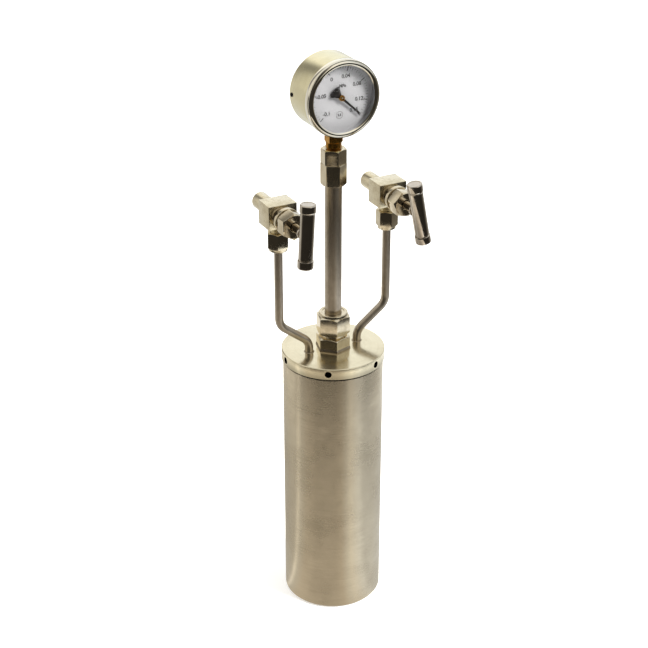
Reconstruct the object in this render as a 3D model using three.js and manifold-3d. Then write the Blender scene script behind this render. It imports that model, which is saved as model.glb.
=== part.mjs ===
// Small stainless pressure pot: a turned cylinder with a screw-in lid, a pressure gauge on a
// riser tube, and two needle valves on side tubes.
// Millimetres, +Z up along the vessel's axis, -Y the side that the dial and the handles face.
// The origin is the centre of the vessel's underside.
import * as THREE from "three";
import { mergeVertices } from "three/addons/utils/BufferGeometryUtils.js";
import Module from "manifold-3d";

const wasm = await Module();
wasm.setup();

// ---------------------------------------------------------------- driving dimensions

// Clearances
const SEAT_GAP = 0.05; // between faces that bear on each other
const FIT_GAP = 0.15; // radial, between a piece and the hole it is fixed in
const RUN_GAP = 0.3; // radial, round anything that turns or slides

// Vessel
const VESSEL_OD = 72.9;
const VESSEL_HEIGHT = 197.8;
const VESSEL_WALL = 4.5;
const BASE_THICKNESS = 8;
const BASE_CHAMFER = 2;

// Lid, screwed in with a seal under its flange
const LID_OVERHANG = 1.05;
const LID_THICKNESS = 8.2;
const LID_CHAMFER = 0.5;
const LID_RISE = 1.4; // open gap between the rim and the flange
const SPIGOT_LENGTH = 12;
const SEAL_SECTION = 2.2;
const SPANNER_HOLES = 6;
const SPANNER_HOLE_D = 5;
const SPANNER_HOLE_DEPTH = 6;
const SPANNER_HOLE_ANGLE = 27; // degrees from -Y to the first hole
const PASSAGE_D = 4; // gas way through the lid, the fittings and the valves

// Riser tube and the compression joint that holds it
const RISER_OD = 12;
const RISER_WALL = 2;
const RISER_LENGTH = 129.1;
const RISER_SOCKET_HEIGHT = 4; // tube end above the lid's top face
const RISER_STUD_WALL = 2.9;
const RISER_NUT_WALL = 1.95;
const RISER_NUT_LENGTH = 16.2;
const RISER_NUT_TURN = -14.4;
const FITTING_HEX_HEIGHT = 9.6;
const FITTING_NECK = 2.2;
const WELD_HEIGHT = 2.6;
const NUT_SHOULDER = 2.6; // solid end of a compression nut
const FERRULE_LENGTH = 3.4;

// Coupling and adapter at the top of the riser
const COUPLING_WALL = 1.85;
const COUPLING_LENGTH = 15.7;
const COUPLING_GRIP = 7.5; // length of riser inside the coupling
const COUPLING_TURN = 0;
const ADAPTER_HEIGHT = 10.8;
const ADAPTER_TURN = -7;

// Gauge
const SOCKET_THREAD_D = 10;
const SOCKET_THREAD_LENGTH = 8.5;
const SOCKET_FLATS = 10.4; // across the square
const SOCKET_CORNER_D = 12.9;
const SOCKET_NECK = 4;
const SOCKET_RISE = 11.6; // adapter's top face to the bezel's lowest point
const WASHER_THICKNESS = 1;
const CASE_OD = 53;
const CASE_WALL = 0.8;
const CASE_BACK = 13.75; // behind the riser's axis
const BEZEL_WALL = 0.41;
const BEZEL_FRONT = 15.8; // in front of the riser's axis
const BEZEL_WIDTH = 5.4;
const BEZEL_LIP = 2.9;
const WINDOW_THICKNESS = 1.2;
const WINDOW_SETBACK = 0.6;
const DIAL_SETBACK = 6.4;
const DIAL_THICKNESS = 0.8;
const CASE_SCREW_SETBACK = 3.6; // from the case's back edge
const CASE_SCREW_HEAD_D = 3;
const CASE_SCREW_SHANK_D = 1.8;
const BOURDON_MARGIN = 7.7; // case's inner wall to the tube's centre line
const BOURDON_WIDTH = 6;
const BOURDON_THICKNESS = 2.4;
const BOURDON_WALL = 0.4;
const BOURDON_START = -75; // degrees, counterclockwise from +X as the dial is seen
const BOURDON_END = 211;

// Gauge movement
const TOOTH_RATIO = 10; // sector's pitch radius over the pinion's
const PINION_TEETH = 12;
const PIVOT_INSET = 3.7; // Bourdon tube's centre line to the sector's pivot
const SECTOR_TEETH = 14; // an even number
const TOOTH_HEIGHT = 0.34;
const ARBOR_D = 1.2;
const POINTER_ANGLE = 133; // clockwise from the top, as the dial is seen
const POINTER_LOW = -135;
const POINTER_INSET = 5.8; // case's inner wall to the pointer's tip
const POINTER_BACK = 8.6; // reach of the counterweight
const PILLAR_SPREAD = 9;
const PILLAR_DROP = 4.5; // pillars below the pinion
const PLATE_THICKNESS = 0.8;
const PLATE_SPACE = 5.5;
const TAIL_LENGTH = 5;
const LINK_LENGTH = 11;

// Needle valves
const VALVE_SPREAD = 43; // from the riser's axis to each valve's axis
const VALVE_RISE = 111.6; // stem axis above the lid's top face
const BLOCK_WIDTH = 21.3;
const BLOCK_DEPTH = 16.5;
const BLOCK_TOP = 9.5;
const BLOCK_BOTTOM = 7.8;
const STUB_OD = 12.4;
const STUB_LENGTH = 20.7;
const BONNET_OD = 15;
const BONNET_LENGTH = 13;
const LOCK_RING_WALL = 1.65;
const LOCK_RING_START = 4.3;
const LOCK_RING_THICKNESS = 3.1;
const GLAND_START = 8.4;
const GLAND_LENGTH = 9.7;
const GLAND_WALL = 0.85;
const STEM_D = 6;
const STEM_COLLAR_STEP = 1.2;
const STEM_LENGTH = 17.3; // gland's front face to the handle's axis
const NEEDLE_D = 5;
const NEEDLE_LENGTH = 6.5;
const HANDLE_D = 10;
const HANDLE_LENGTH = 45.7;
const HANDLE_COLLAR_D = 11;
const HANDLE_COLLAR_LENGTH = 6;

// Side tubes
const SIDE_TUBE_OD = 6;
const SIDE_TUBE_WALL = 1;
const SIDE_TUBE_LID_RADIUS = 19.5;
const SIDE_TUBE_LOW_CORNER = 8.2; // lower bend's corner above the lid's top face
const SIDE_TUBE_FALL = 37.5; // degrees below horizontal of the slanted run
const SIDE_TUBE_BEND = 11;
const SIDE_STUD_WALL = 2.6;
const SIDE_NUT_WALL = 1.25;
const SIDE_NUT_LENGTH = 14.2;
const SIDE_NUT_BOSS = 2.2;
const SIDE_NECK = 5;
const SIDE_GRIP = 6; // length of tube inside the stud

// Each side's own turns, in degrees
const SIDES = [
  { name: "left", x: -1, handleTurn: -3, glandTurn: 0, nutTurn: -27.5 },
  { name: "right", x: 1, handleTurn: 11, glandTurn: 18, nutTurn: -6 },
];

// Facets round a full turn
const BIG_ROUND = 32;
const ROUND = 16;
const SMALL_ROUND = 12;

// ---------------------------------------------------------------- derived sizes

const vesselR = VESSEL_OD / 2;
const boreR = vesselR - VESSEL_WALL;
const lidR = vesselR + LID_OVERHANG;
const lidBottom = VESSEL_HEIGHT + LID_RISE;
const lidTop = lidBottom + LID_THICKNESS;
const spigotR = boreR - RUN_GAP;
const spigotBottom = lidBottom - SPIGOT_LENGTH;
const sealR = (boreR + vesselR) / 2;
const passageR = PASSAGE_D / 2;

const riserR = RISER_OD / 2;
const riserBottom = lidTop + RISER_SOCKET_HEIGHT;
const riserTop = riserBottom + RISER_LENGTH;
const couplingBottom = riserTop - COUPLING_GRIP;
const couplingTop = couplingBottom + COUPLING_LENGTH;
const couplingR = riserR + FIT_GAP + COUPLING_WALL;
const adapterTop = couplingTop + SEAT_GAP + ADAPTER_HEIGHT;

const socketR = SOCKET_THREAD_D / 2;
const caseR = CASE_OD / 2;
const bezelR = caseR + FIT_GAP + BEZEL_WALL;
const gaugeZ = adapterTop + SOCKET_RISE + bezelR;
const caseInnerR = caseR - CASE_WALL;
const dialFront = BEZEL_FRONT - DIAL_SETBACK;
const dialBack = dialFront - DIAL_THICKNESS;
const windowFront = BEZEL_FRONT - WINDOW_SETBACK - SEAT_GAP;
const windowBack = windowFront - WINDOW_THICKNESS;
const bourdonR = caseInnerR - BOURDON_MARGIN;
const sectorPivotY = -(bourdonR - PIVOT_INSET);
const pinionR = -sectorPivotY / (TOOTH_RATIO + 1);
const sectorR = pinionR * TOOTH_RATIO;
const pointerLength = caseInnerR - POINTER_INSET;
const plateFrontZ = dialBack - 3.4;
const plateBackZ = plateFrontZ - PLATE_SPACE - PLATE_THICKNESS;

const valveZ = lidTop + VALVE_RISE;
const blockHalfDepth = BLOCK_DEPTH / 2;
const stemR = STEM_D / 2;
const collarR = stemR + STEM_COLLAR_STEP;
const bonnetR = BONNET_OD / 2;
const glandStart = blockHalfDepth + GLAND_START;
const glandEnd = glandStart + GLAND_LENGTH;
const glandHexR = bonnetR + FIT_GAP + GLAND_WALL;
const bonnetEnd = blockHalfDepth + BONNET_LENGTH;
const handleZ = glandEnd + STEM_LENGTH;
const sideTubeR = SIDE_TUBE_OD / 2;

// ---------------------------------------------------------------- finishes

const finish = (color, roughness, metalness) => ({ color, roughness, metalness });
const BRUSHED_STEEL = finish(0xb5aa92, 0.35, 1);
const TUBE_STEEL = finish(0x8a8070, 0.38, 1);
const CAST_STEEL = finish(0xbcb18f, 0.45, 1);
const POLISHED_STEEL = finish(0x9b9484, 0.2, 1);
const CHROME = finish(0xd8d8d4, 0.08, 1);
const BRASS = finish(0xa8741f, 0.3, 1);
const COPPER = finish(0xa8603a, 0.4, 1);
const RUBBER = finish(0x1a1a1a, 0.8, 0);
const PTFE = finish(0xe8e6df, 0.5, 0);
const BLACK_PAINT = finish(0x101012, 0.4, 0);
const WHITE_PAINT = finish(0xd9d9dc, 0.5, 0);
const GLASS = { ...finish(0xeef2f2, 0.05, 0), transparent: true, opacity: 0.25 };

// ---------------------------------------------------------------- helpers

const pot = new THREE.Group();
const radians = THREE.MathUtils.degToRad;

function piece(name, shape, look, parent = pot) {
  const geometry = shape.isBufferGeometry ? shape : toGeometry(shape);
  const mesh = new THREE.Mesh(geometry, new THREE.MeshStandardMaterial(look));
  mesh.name = name;
  parent.add(mesh);
  return mesh;
}

// A closed geometry as a solid that can be joined and cut.
function toSolid(geometry) {
  const bare = geometry.clone();
  bare.deleteAttribute("normal");
  bare.deleteAttribute("uv");
  const merged = mergeVertices(bare, 1e-4);
  const mesh = new wasm.Mesh({
    numProp: 3,
    vertProperties: merged.attributes.position.array,
    triVerts: new Uint32Array(merged.index.array),
  });
  return new wasm.Manifold(mesh);
}

function toGeometry(solid) {
  const mesh = solid.getMesh();
  const geometry = new THREE.BufferGeometry();
  geometry.setAttribute("position", new THREE.BufferAttribute(mesh.vertProperties, 3));
  geometry.setIndex(new THREE.BufferAttribute(mesh.triVerts, 1));
  geometry.computeVertexNormals();
  return geometry;
}

// A profile of [radius, height] points, turned about Z. It starts and ends on the axis.
function turned(profile, sides = ROUND) {
  const points = profile.map(([r, z]) => new THREE.Vector2(r, z));
  return toSolid(new THREE.LatheGeometry(points, sides).rotateX(Math.PI / 2));
}

// A closed ring section of [radius, height] points, clear of the axis, turned about Z.
function turnedRing(section, sides = ROUND) {
  return turned([...section, section[0]], sides);
}

const rod = (radius, low, high, sides = ROUND) =>
  turned([[0, low], [radius, low], [radius, high], [0, high]], sides);

const tube = (inner, outer, low, high, sides = ROUND) =>
  turnedRing([[inner, low], [outer, low], [outer, high], [inner, high]], sides);

// A rod with both ends chamfered.
const chamferedRod = (radius, low, high, chamfer, sides = ROUND) =>
  turned(
    [
      [0, low],
      [radius - chamfer, low],
      [radius, low + chamfer],
      [radius, high - chamfer],
      [radius - chamfer, high],
      [0, high],
    ],
    sides,
  );

// A rod along another direction: turn is an Euler triple in degrees, at the place it is moved to.
const turnedTo = (solid, turn, place = [0, 0, 0]) => solid.rotate(turn).translate(place);

function box(x0, x1, y0, y1, z0, z1) {
  const shape = new THREE.BoxGeometry(x1 - x0, y1 - y0, z1 - z0);
  shape.translate((x0 + x1) / 2, (y0 + y1) / 2, (z0 + z1) / 2);
  return toSolid(shape);
}

// A plate cut from an outline of [x, y] points, between two heights.
function plate(outline, low, high) {
  const shape = new THREE.Shape(outline.map(([x, y]) => new THREE.Vector2(x, y)));
  const options = { depth: high - low, bevelEnabled: false };
  return toSolid(new THREE.ExtrudeGeometry(shape, options).translate(0, 0, low));
}

// A hexagon bar with a corner towards -Y, and its corners taken down at either end.
function hexBar(flatR, low, high, turn, chamferLow, chamferHigh) {
  const cornerR = flatR / Math.cos(Math.PI / 6);
  const faceR = flatR * 0.97;
  const drop = (cornerR - faceR) * Math.tan(Math.PI / 6);
  const bar = new THREE.CylinderGeometry(cornerR, cornerR, high - low, 6);
  bar.rotateX(Math.PI / 2).translate(0, 0, (low + high) / 2).rotateZ(radians(turn));
  const outer = cornerR + 0.5;
  const slope = (outer - faceR) * (drop / (cornerR - faceR));
  const trim = turned([
    [0, low],
    [chamferLow ? faceR : outer, low],
    [outer, low + (chamferLow ? slope : 0.01)],
    [outer, high - (chamferHigh ? slope : 0.01)],
    [chamferHigh ? faceR : outer, high],
    [0, high],
  ]);
  return toSolid(bar).intersect(trim);
}

// The hollow stud, nut and ferrule that grip a tube. Z runs from the hexagon the stud stands on
// towards the nut's far end.
function studShape({ tubeR, studWall, neck, nutLength, grip }) {
  const studR = tubeR + studWall;
  const top = neck + nutLength - NUT_SHOULDER - FERRULE_LENGTH;
  const socket = rod(tubeR + FIT_GAP, top - grip, top + 1);
  return rod(studR, -1, top).subtract(socket);
}

function nutShape({ tubeR, studWall, nutWall, neck, nutLength, turn, boss = 0 }) {
  const threadR = tubeR + studWall + FIT_GAP;
  const hexEnd = neck + nutLength - boss;
  const end = neck + nutLength;
  const seat = end - NUT_SHOULDER;
  let nut = hexBar(threadR + nutWall, neck, hexEnd, turn, true, true);
  if (boss) nut = nut.add(chamferedRod(threadR + nutWall * 0.5, hexEnd - 1, end, 0.4));
  const inside = turned([
    [0, neck - 1],
    [threadR, neck - 1],
    [threadR, seat - FERRULE_LENGTH + 0.6],
    [tubeR + FIT_GAP, seat],
    [tubeR + FIT_GAP, end + 1],
    [0, end + 1],
  ]);
  return nut.subtract(inside);
}

function ferruleShape({ tubeR, studWall, neck, nutLength }) {
  const high = neck + nutLength - NUT_SHOULDER - 0.5;
  const low = high - FERRULE_LENGTH + 0.7;
  return turnedRing(
    [
      [tubeR + FIT_GAP, low],
      [tubeR + studWall * 0.6, low],
      [tubeR + FIT_GAP + 0.25, high],
      [tubeR + FIT_GAP, high],
    ],
    ROUND,
  );
}

// ---------------------------------------------------------------- vessel

function addVessel() {
  const wall = turnedRing(
    [
      [boreR, 0],
      [vesselR - BASE_CHAMFER, 0],
      [vesselR, BASE_CHAMFER],
      [vesselR, VESSEL_HEIGHT],
      [boreR, VESSEL_HEIGHT],
    ],
    BIG_ROUND,
  );
  piece("vessel_wall", wall, BRUSHED_STEEL);
  piece("vessel_base", rod(boreR - FIT_GAP, 0, BASE_THICKNESS, BIG_ROUND), BRUSHED_STEEL);
}

// ---------------------------------------------------------------- lid and its seal

function addLid() {
  const grooveHalf = SEAL_SECTION / 2 + RUN_GAP;
  const grooveTop = VESSEL_HEIGHT + SEAL_SECTION + 2 * SEAT_GAP;
  let lid = turned(
    [
      [0, spigotBottom],
      [spigotR - 1, spigotBottom],
      [spigotR, spigotBottom + 1],
      [spigotR, lidBottom],
      [lidR, lidBottom],
      [lidR, lidTop - LID_CHAMFER],
      [lidR - LID_CHAMFER, lidTop],
      [0, lidTop],
    ],
    BIG_ROUND,
  );
  lid = lid.subtract(tube(sealR - grooveHalf, sealR + grooveHalf, lidBottom - 1, grooveTop, BIG_ROUND));
  lid = lid.subtract(rod(passageR, spigotBottom - 1, lidTop + 1, SMALL_ROUND));
  for (const side of SIDES) {
    const x = side.x * SIDE_TUBE_LID_RADIUS;
    const socket = rod(sideTubeR + FIT_GAP, lidBottom, lidTop + 1, SMALL_ROUND);
    const way = rod(passageR, spigotBottom - 1, lidBottom + 1, SMALL_ROUND);
    lid = lid.subtract(socket.add(way).translate([x, 0, 0]));
  }
  const holeZ = (lidTop + lidBottom) / 2;
  const holeEnd = rod(SPANNER_HOLE_D / 2, lidR - SPANNER_HOLE_DEPTH, lidR + 1, SMALL_ROUND);
  for (let i = 0; i < SPANNER_HOLES; i += 1) {
    const turn = SPANNER_HOLE_ANGLE + (i * 360) / SPANNER_HOLES;
    lid = lid.subtract(turnedTo(holeEnd, [90, 0, turn], [0, 0, holeZ]));
  }
  piece("lid", lid, BRUSHED_STEEL);

  const section = [];
  for (let i = 0; i < 8; i += 1) {
    const angle = radians(22.5 + 45 * i);
    const r = SEAL_SECTION / 2 / Math.cos(radians(22.5));
    const z = VESSEL_HEIGHT + SEAT_GAP + SEAL_SECTION / 2;
    section.push([sealR + r * Math.cos(angle), z + r * Math.sin(angle)]);
  }
  piece("lid_seal", turnedRing(section, BIG_ROUND), RUBBER);
}

// ---------------------------------------------------------------- riser and its joints

const riserJoint = {
  tubeR: riserR,
  studWall: RISER_STUD_WALL,
  nutWall: RISER_NUT_WALL,
  neck: FITTING_NECK,
  nutLength: RISER_NUT_LENGTH,
  turn: RISER_NUT_TURN,
};

function addRiser() {
  const hexR = riserR + RISER_STUD_WALL + FIT_GAP + RISER_NUT_WALL;
  const studTop = FITTING_NECK + RISER_NUT_LENGTH - NUT_SHOULDER - FERRULE_LENGTH;
  const grip = FITTING_HEX_HEIGHT + studTop - RISER_SOCKET_HEIGHT + SEAT_GAP;
  const stud = studShape({ ...riserJoint, grip });
  const weld = turned([
    [0, -FITTING_HEX_HEIGHT],
    [hexR * 1.1, -FITTING_HEX_HEIGHT],
    [hexR * 1.1, WELD_HEIGHT * 0.3 - FITTING_HEX_HEIGHT],
    [hexR, WELD_HEIGHT - FITTING_HEX_HEIGHT],
    [0, WELD_HEIGHT - FITTING_HEX_HEIGHT],
  ]);
  const hex = hexBar(hexR, -FITTING_HEX_HEIGHT, 0, RISER_NUT_TURN, false, true);
  const socket = rod(riserR + FIT_GAP, studTop - grip, studTop + 1);
  const way = rod(passageR, -FITTING_HEX_HEIGHT - 1, 0, SMALL_ROUND);
  const seat = new THREE.Group();
  seat.position.z = lidTop + FITTING_HEX_HEIGHT + SEAT_GAP;
  pot.add(seat);
  piece("riser_fitting", weld.add(hex).add(stud).subtract(socket).subtract(way), BRUSHED_STEEL, seat);
  piece("riser_nut", nutShape(riserJoint), BRUSHED_STEEL, seat);
  piece("riser_ferrule", ferruleShape(riserJoint), POLISHED_STEEL, seat);
  const riser = tube(riserR - RISER_WALL, riserR, riserBottom + 2 * SEAT_GAP, riserTop);
  piece("riser_tube", riser, TUBE_STEEL);
}

function addAdapter() {
  let coupling = hexBar(couplingR, couplingBottom, couplingTop, COUPLING_TURN, true, false);
  coupling = coupling.subtract(rod(riserR + FIT_GAP, couplingBottom - 1, couplingTop + 1));
  piece("riser_coupling", coupling, BRUSHED_STEEL);

  const hexBottom = couplingTop + SEAT_GAP;
  const studBottom = riserTop + SEAT_GAP;
  const threadBottom = adapterTop - SOCKET_THREAD_LENGTH - WASHER_THICKNESS - 3 * SEAT_GAP;
  const adapter = hexBar(couplingR, hexBottom, adapterTop, ADAPTER_TURN, false, true)
    .add(rod(riserR, studBottom, hexBottom + 1))
    .subtract(rod(socketR + FIT_GAP, threadBottom, adapterTop + 1))
    .subtract(rod(passageR, studBottom - 1, threadBottom + 1, SMALL_ROUND));
  piece("gauge_adapter", adapter, BRUSHED_STEEL);

  const washerLow = threadBottom + SEAT_GAP;
  const washer = tube(passageR, socketR - FIT_GAP, washerLow, washerLow + WASHER_THICKNESS, ROUND);
  piece("gauge_washer", washer, COPPER);
}

// ---------------------------------------------------------------- gauge

// The gauge's own frame has Z towards the reader and Y up, with its origin at the dial's centre.
const gauge = new THREE.Group();
gauge.position.z = gaugeZ;
gauge.rotation.x = Math.PI / 2;
pot.add(gauge);

const onGauge = (degrees, radius) => [
  radius * Math.cos(radians(degrees)),
  radius * Math.sin(radians(degrees)),
];

function addCase() {
  const backRim = -CASE_BACK;
  const bezelBack = BEZEL_FRONT - BEZEL_WIDTH;
  const caseFront = BEZEL_FRONT - 1;
  const neckHole = turnedTo(rod(SOCKET_CORNER_D / 2 + RUN_GAP, 0, bezelR + 5), [90, 0, 0]);
  const screwHole = rod(CASE_SCREW_SHANK_D / 2 + FIT_GAP, caseR - 4, caseR + 4, SMALL_ROUND);
  const screwZ = backRim + CASE_SCREW_SETBACK;
  const shell = turnedRing(
    [
      [caseInnerR - 1.2, backRim],
      [caseR, backRim],
      [caseR, caseFront],
      [caseInnerR, caseFront],
      [caseInnerR, backRim + CASE_WALL],
      [caseInnerR - 1.2, backRim + CASE_WALL],
    ],
    BIG_ROUND,
  );
  const panR = caseInnerR - FIT_GAP;
  const panBack = backRim + CASE_WALL + SEAT_GAP;
  const pan = turned(
    [
      [0, panBack],
      [panR, panBack],
      [panR, panBack + 5],
      [panR - CASE_WALL, panBack + 5],
      [panR - CASE_WALL, panBack + CASE_WALL],
      [0, panBack + CASE_WALL],
    ],
    BIG_ROUND,
  );
  const bezel = turnedRing(
    [
      [caseR + FIT_GAP, bezelBack],
      [bezelR - 0.2, bezelBack],
      [bezelR, bezelBack + 0.4],
      [bezelR, BEZEL_FRONT - 0.9],
      [bezelR - 0.9, BEZEL_FRONT],
      [bezelR - BEZEL_LIP + 0.4, BEZEL_FRONT],
      [bezelR - BEZEL_LIP, BEZEL_FRONT - WINDOW_SETBACK],
      [caseR + FIT_GAP, BEZEL_FRONT - WINDOW_SETBACK],
    ],
    BIG_ROUND,
  );
  let holes = neckHole;
  for (const x of [-1, 1]) {
    holes = holes.add(turnedTo(screwHole, [0, 90 * x, 0], [0, 0, screwZ]));
  }
  piece("gauge_case", shell.subtract(holes), CAST_STEEL, gauge);
  piece("gauge_back", pan.subtract(holes), CAST_STEEL, gauge);
  piece("bezel", bezel, CHROME, gauge);

  const headR = CASE_SCREW_HEAD_D / 2;
  const screw = turned(
    [
      [0, caseR - 2.6],
      [CASE_SCREW_SHANK_D / 2, caseR - 2.6],
      [CASE_SCREW_SHANK_D / 2, caseR + SEAT_GAP],
      [headR, caseR + SEAT_GAP],
      [headR, caseR + 0.35],
      [headR * 0.6, caseR + 0.8],
      [0, caseR + 0.9],
    ],
    SMALL_ROUND,
  );
  for (const [name, x] of [["left", -1], ["right", 1]]) {
    piece(`case_screw_${name}`, turnedTo(screw, [0, 90 * x, 0], [0, 0, screwZ]), BLACK_PAINT, gauge);
  }
}

function addFace() {
  const frontR = caseInnerR - FIT_GAP;
  const window_ = rod(frontR, windowBack, windowFront, BIG_ROUND);
  const spacer = tube(frontR - 1, frontR, dialFront + SEAT_GAP, windowBack - SEAT_GAP, BIG_ROUND);
  const dial = tube(ARBOR_D / 2 + RUN_GAP, frontR, dialBack, dialFront, BIG_ROUND);
  piece("gauge_window", window_, GLASS, gauge);
  piece("window_spacer", spacer, WHITE_PAINT, gauge);
  piece("dial", dial, WHITE_PAINT, gauge);
}

// Depths of the pinion and the sector between the movement's plates
const PINION_OVERHANG = 0.6;
const SECTOR_THICKNESS = 0.9;
const pinionLow = plateBackZ + PLATE_THICKNESS + 1.6;
const gearLow = pinionLow + PINION_OVERHANG;
const gearHigh = gearLow + SECTOR_THICKNESS;
const pinionHigh = gearHigh + PINION_OVERHANG;

// Square block that screws into the adapter, passes through the case's wall and holds the
// Bourdon tube's root and the movement.
const blockFront = plateBackZ - SEAT_GAP;
const blockBack = -(CASE_BACK - 2.4);
const blockTopY = -(bourdonR - 5);
const footTopY = -(caseInnerR - 6);
const bourdonZ = blockFront - 2 - BOURDON_WIDTH / 2;

function addSocket() {
  const rootY = -(caseInnerR - 3);
  const bottomY = -(bezelR + SOCKET_RISE - SOCKET_NECK);
  const faceY = -(bezelR + SOCKET_RISE);
  const half = SOCKET_FLATS / 2;
  const square = box(-half, half, -half, half, -footTopY, -bottomY);
  const corners = turned([
    [0, 0],
    [SOCKET_CORNER_D / 2, 0],
    [SOCKET_CORNER_D / 2, -bottomY - 1.4],
    [SOCKET_CORNER_D / 2 - 1.6, -bottomY],
    [0, -bottomY],
  ]);
  const thread = turned([
    [0, -bottomY - 1],
    [socketR + 0.5, -bottomY - 1],
    [socketR + 0.5, -faceY - 1],
    [socketR, -faceY - 0.6],
    [socketR, -faceY + SOCKET_THREAD_LENGTH],
    [0, -faceY + SOCKET_THREAD_LENGTH],
  ]);
  const bore = rod(1.2, -footTopY + 2, -faceY + SOCKET_THREAD_LENGTH + 1, SMALL_ROUND);
  const stalk = turnedTo(square.intersect(corners).add(thread).subtract(bore), [90, 0, 0]);
  const foot = box(-half, half, rootY, footTopY, blockBack, half);
  const post = box(-7.5, 7.5, rootY, blockTopY, blockBack, blockFront);
  const rootSlot = box(
    2.5,
    8,
    -bourdonR - BOURDON_THICKNESS,
    blockTopY + 1,
    blockBack - 1,
    bourdonZ + BOURDON_WIDTH / 2 + FIT_GAP,
  );
  const socket = stalk.add(foot).add(post).subtract(rootSlot);
  piece("gauge_socket", socket, BRASS, gauge);
}

function addBourdonTube() {
  const arc = new THREE.EllipseCurve(
    0,
    0,
    bourdonR,
    bourdonR,
    radians(BOURDON_START),
    radians(BOURDON_END),
  );
  const points = arc.getPoints(24).map((p) => new THREE.Vector3(p.x, p.y, 0));
  const route = new THREE.CatmullRomCurve3(points);
  const section = flattenedRound(BOURDON_THICKNESS, BOURDON_WIDTH);
  section.holes.push(
    flattenedRound(BOURDON_THICKNESS - 2 * BOURDON_WALL, BOURDON_WIDTH - 2 * BOURDON_WALL),
  );
  const options = { steps: 18, extrudePath: route, bevelEnabled: false, curveSegments: 2 };
  const coil = new THREE.ExtrudeGeometry(section, options).translate(0, 0, bourdonZ);
  piece("bourdon_tube", coil, BRASS, gauge);

  // End piece that closes the tube and reaches in to the link.
  const [tipX, tipY] = onGauge(BOURDON_END, bourdonR);
  const [linkX, linkY] = linkEnd();
  const cap = box(-1.6, 1.6, -2, -RUN_GAP, -BOURDON_WIDTH / 2, BOURDON_WIDTH / 2)
    .rotate([0, 0, BOURDON_END + 180])
    .translate([tipX, tipY, bourdonZ]);
  const reach = Math.hypot(linkX - tipX, linkY - tipY) + 1;
  const along = Math.atan2(linkY - tipY, linkX - tipX);
  const ear = box(0, reach, -1, 1, gearLow - 0.2, gearHigh - 0.1)
    .add(box(0, 1.6, -1, 1, bourdonZ, gearHigh - 0.1))
    .rotate([0, 0, THREE.MathUtils.radToDeg(along)])
    .translate([tipX, tipY, 0]);
  piece("bourdon_tip", cap.add(trimmedByTube(ear)), BRASS, gauge);
}

// The ear starts past the Bourdon tube's end face.
function trimmedByTube(ear) {
  const [dx, dy] = onGauge(BOURDON_END - 90, 1);
  const [x, y] = onGauge(BOURDON_END, bourdonR);
  const cutter = box(-30, 30, 0, 30, -30, 30)
    .rotate([0, 0, THREE.MathUtils.radToDeg(Math.atan2(dy, dx)) - 90])
    .translate([x - dx * RUN_GAP, y - dy * RUN_GAP, 0]);
  return ear.subtract(cutter);
}

function flattenedRound(width, height) {
  const r = width / 2;
  const straight = height / 2 - r;
  const shape = new THREE.Shape();
  shape.absarc(0, straight, r, 0, Math.PI, false);
  shape.absarc(0, -straight, r, Math.PI, 2 * Math.PI, false);
  return shape;
}

// ---------------------------------------------------------------- gauge movement

// Swing of the sector from mid travel to where it stands at rest, in degrees.
const sweepMiddle = (POINTER_ANGLE + POINTER_LOW) / 2;
const sectorRest = (POINTER_ANGLE - sweepMiddle) / TOOTH_RATIO;
const tailAngle = 225 + sectorRest;

function tailEnd() {
  const [x, y] = onGauge(tailAngle, TAIL_LENGTH);
  return [x, sectorPivotY + y];
}

function linkEnd() {
  const [x, y] = tailEnd();
  const [dx, dy] = onGauge(135, LINK_LENGTH);
  return [x + dx, y + dy];
}

// Outline of straight-sided teeth on a circle. Angles are in degrees, and the first tooth is centred
// on the first of them.
function toothRow(radius, teethPerTurn, firstTooth, count) {
  const step = 360 / teethPerTurn;
  const half = TOOTH_HEIGHT / 2;
  const flank = [[-0.3, -half], [-0.11, half], [0.11, half], [0.3, -half]];
  const points = [];
  for (let i = 0; i < count; i += 1) {
    for (const [share, height] of flank) {
      points.push(onGauge(firstTooth + (i + share) * step, radius + height));
    }
  }
  return points;
}

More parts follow.
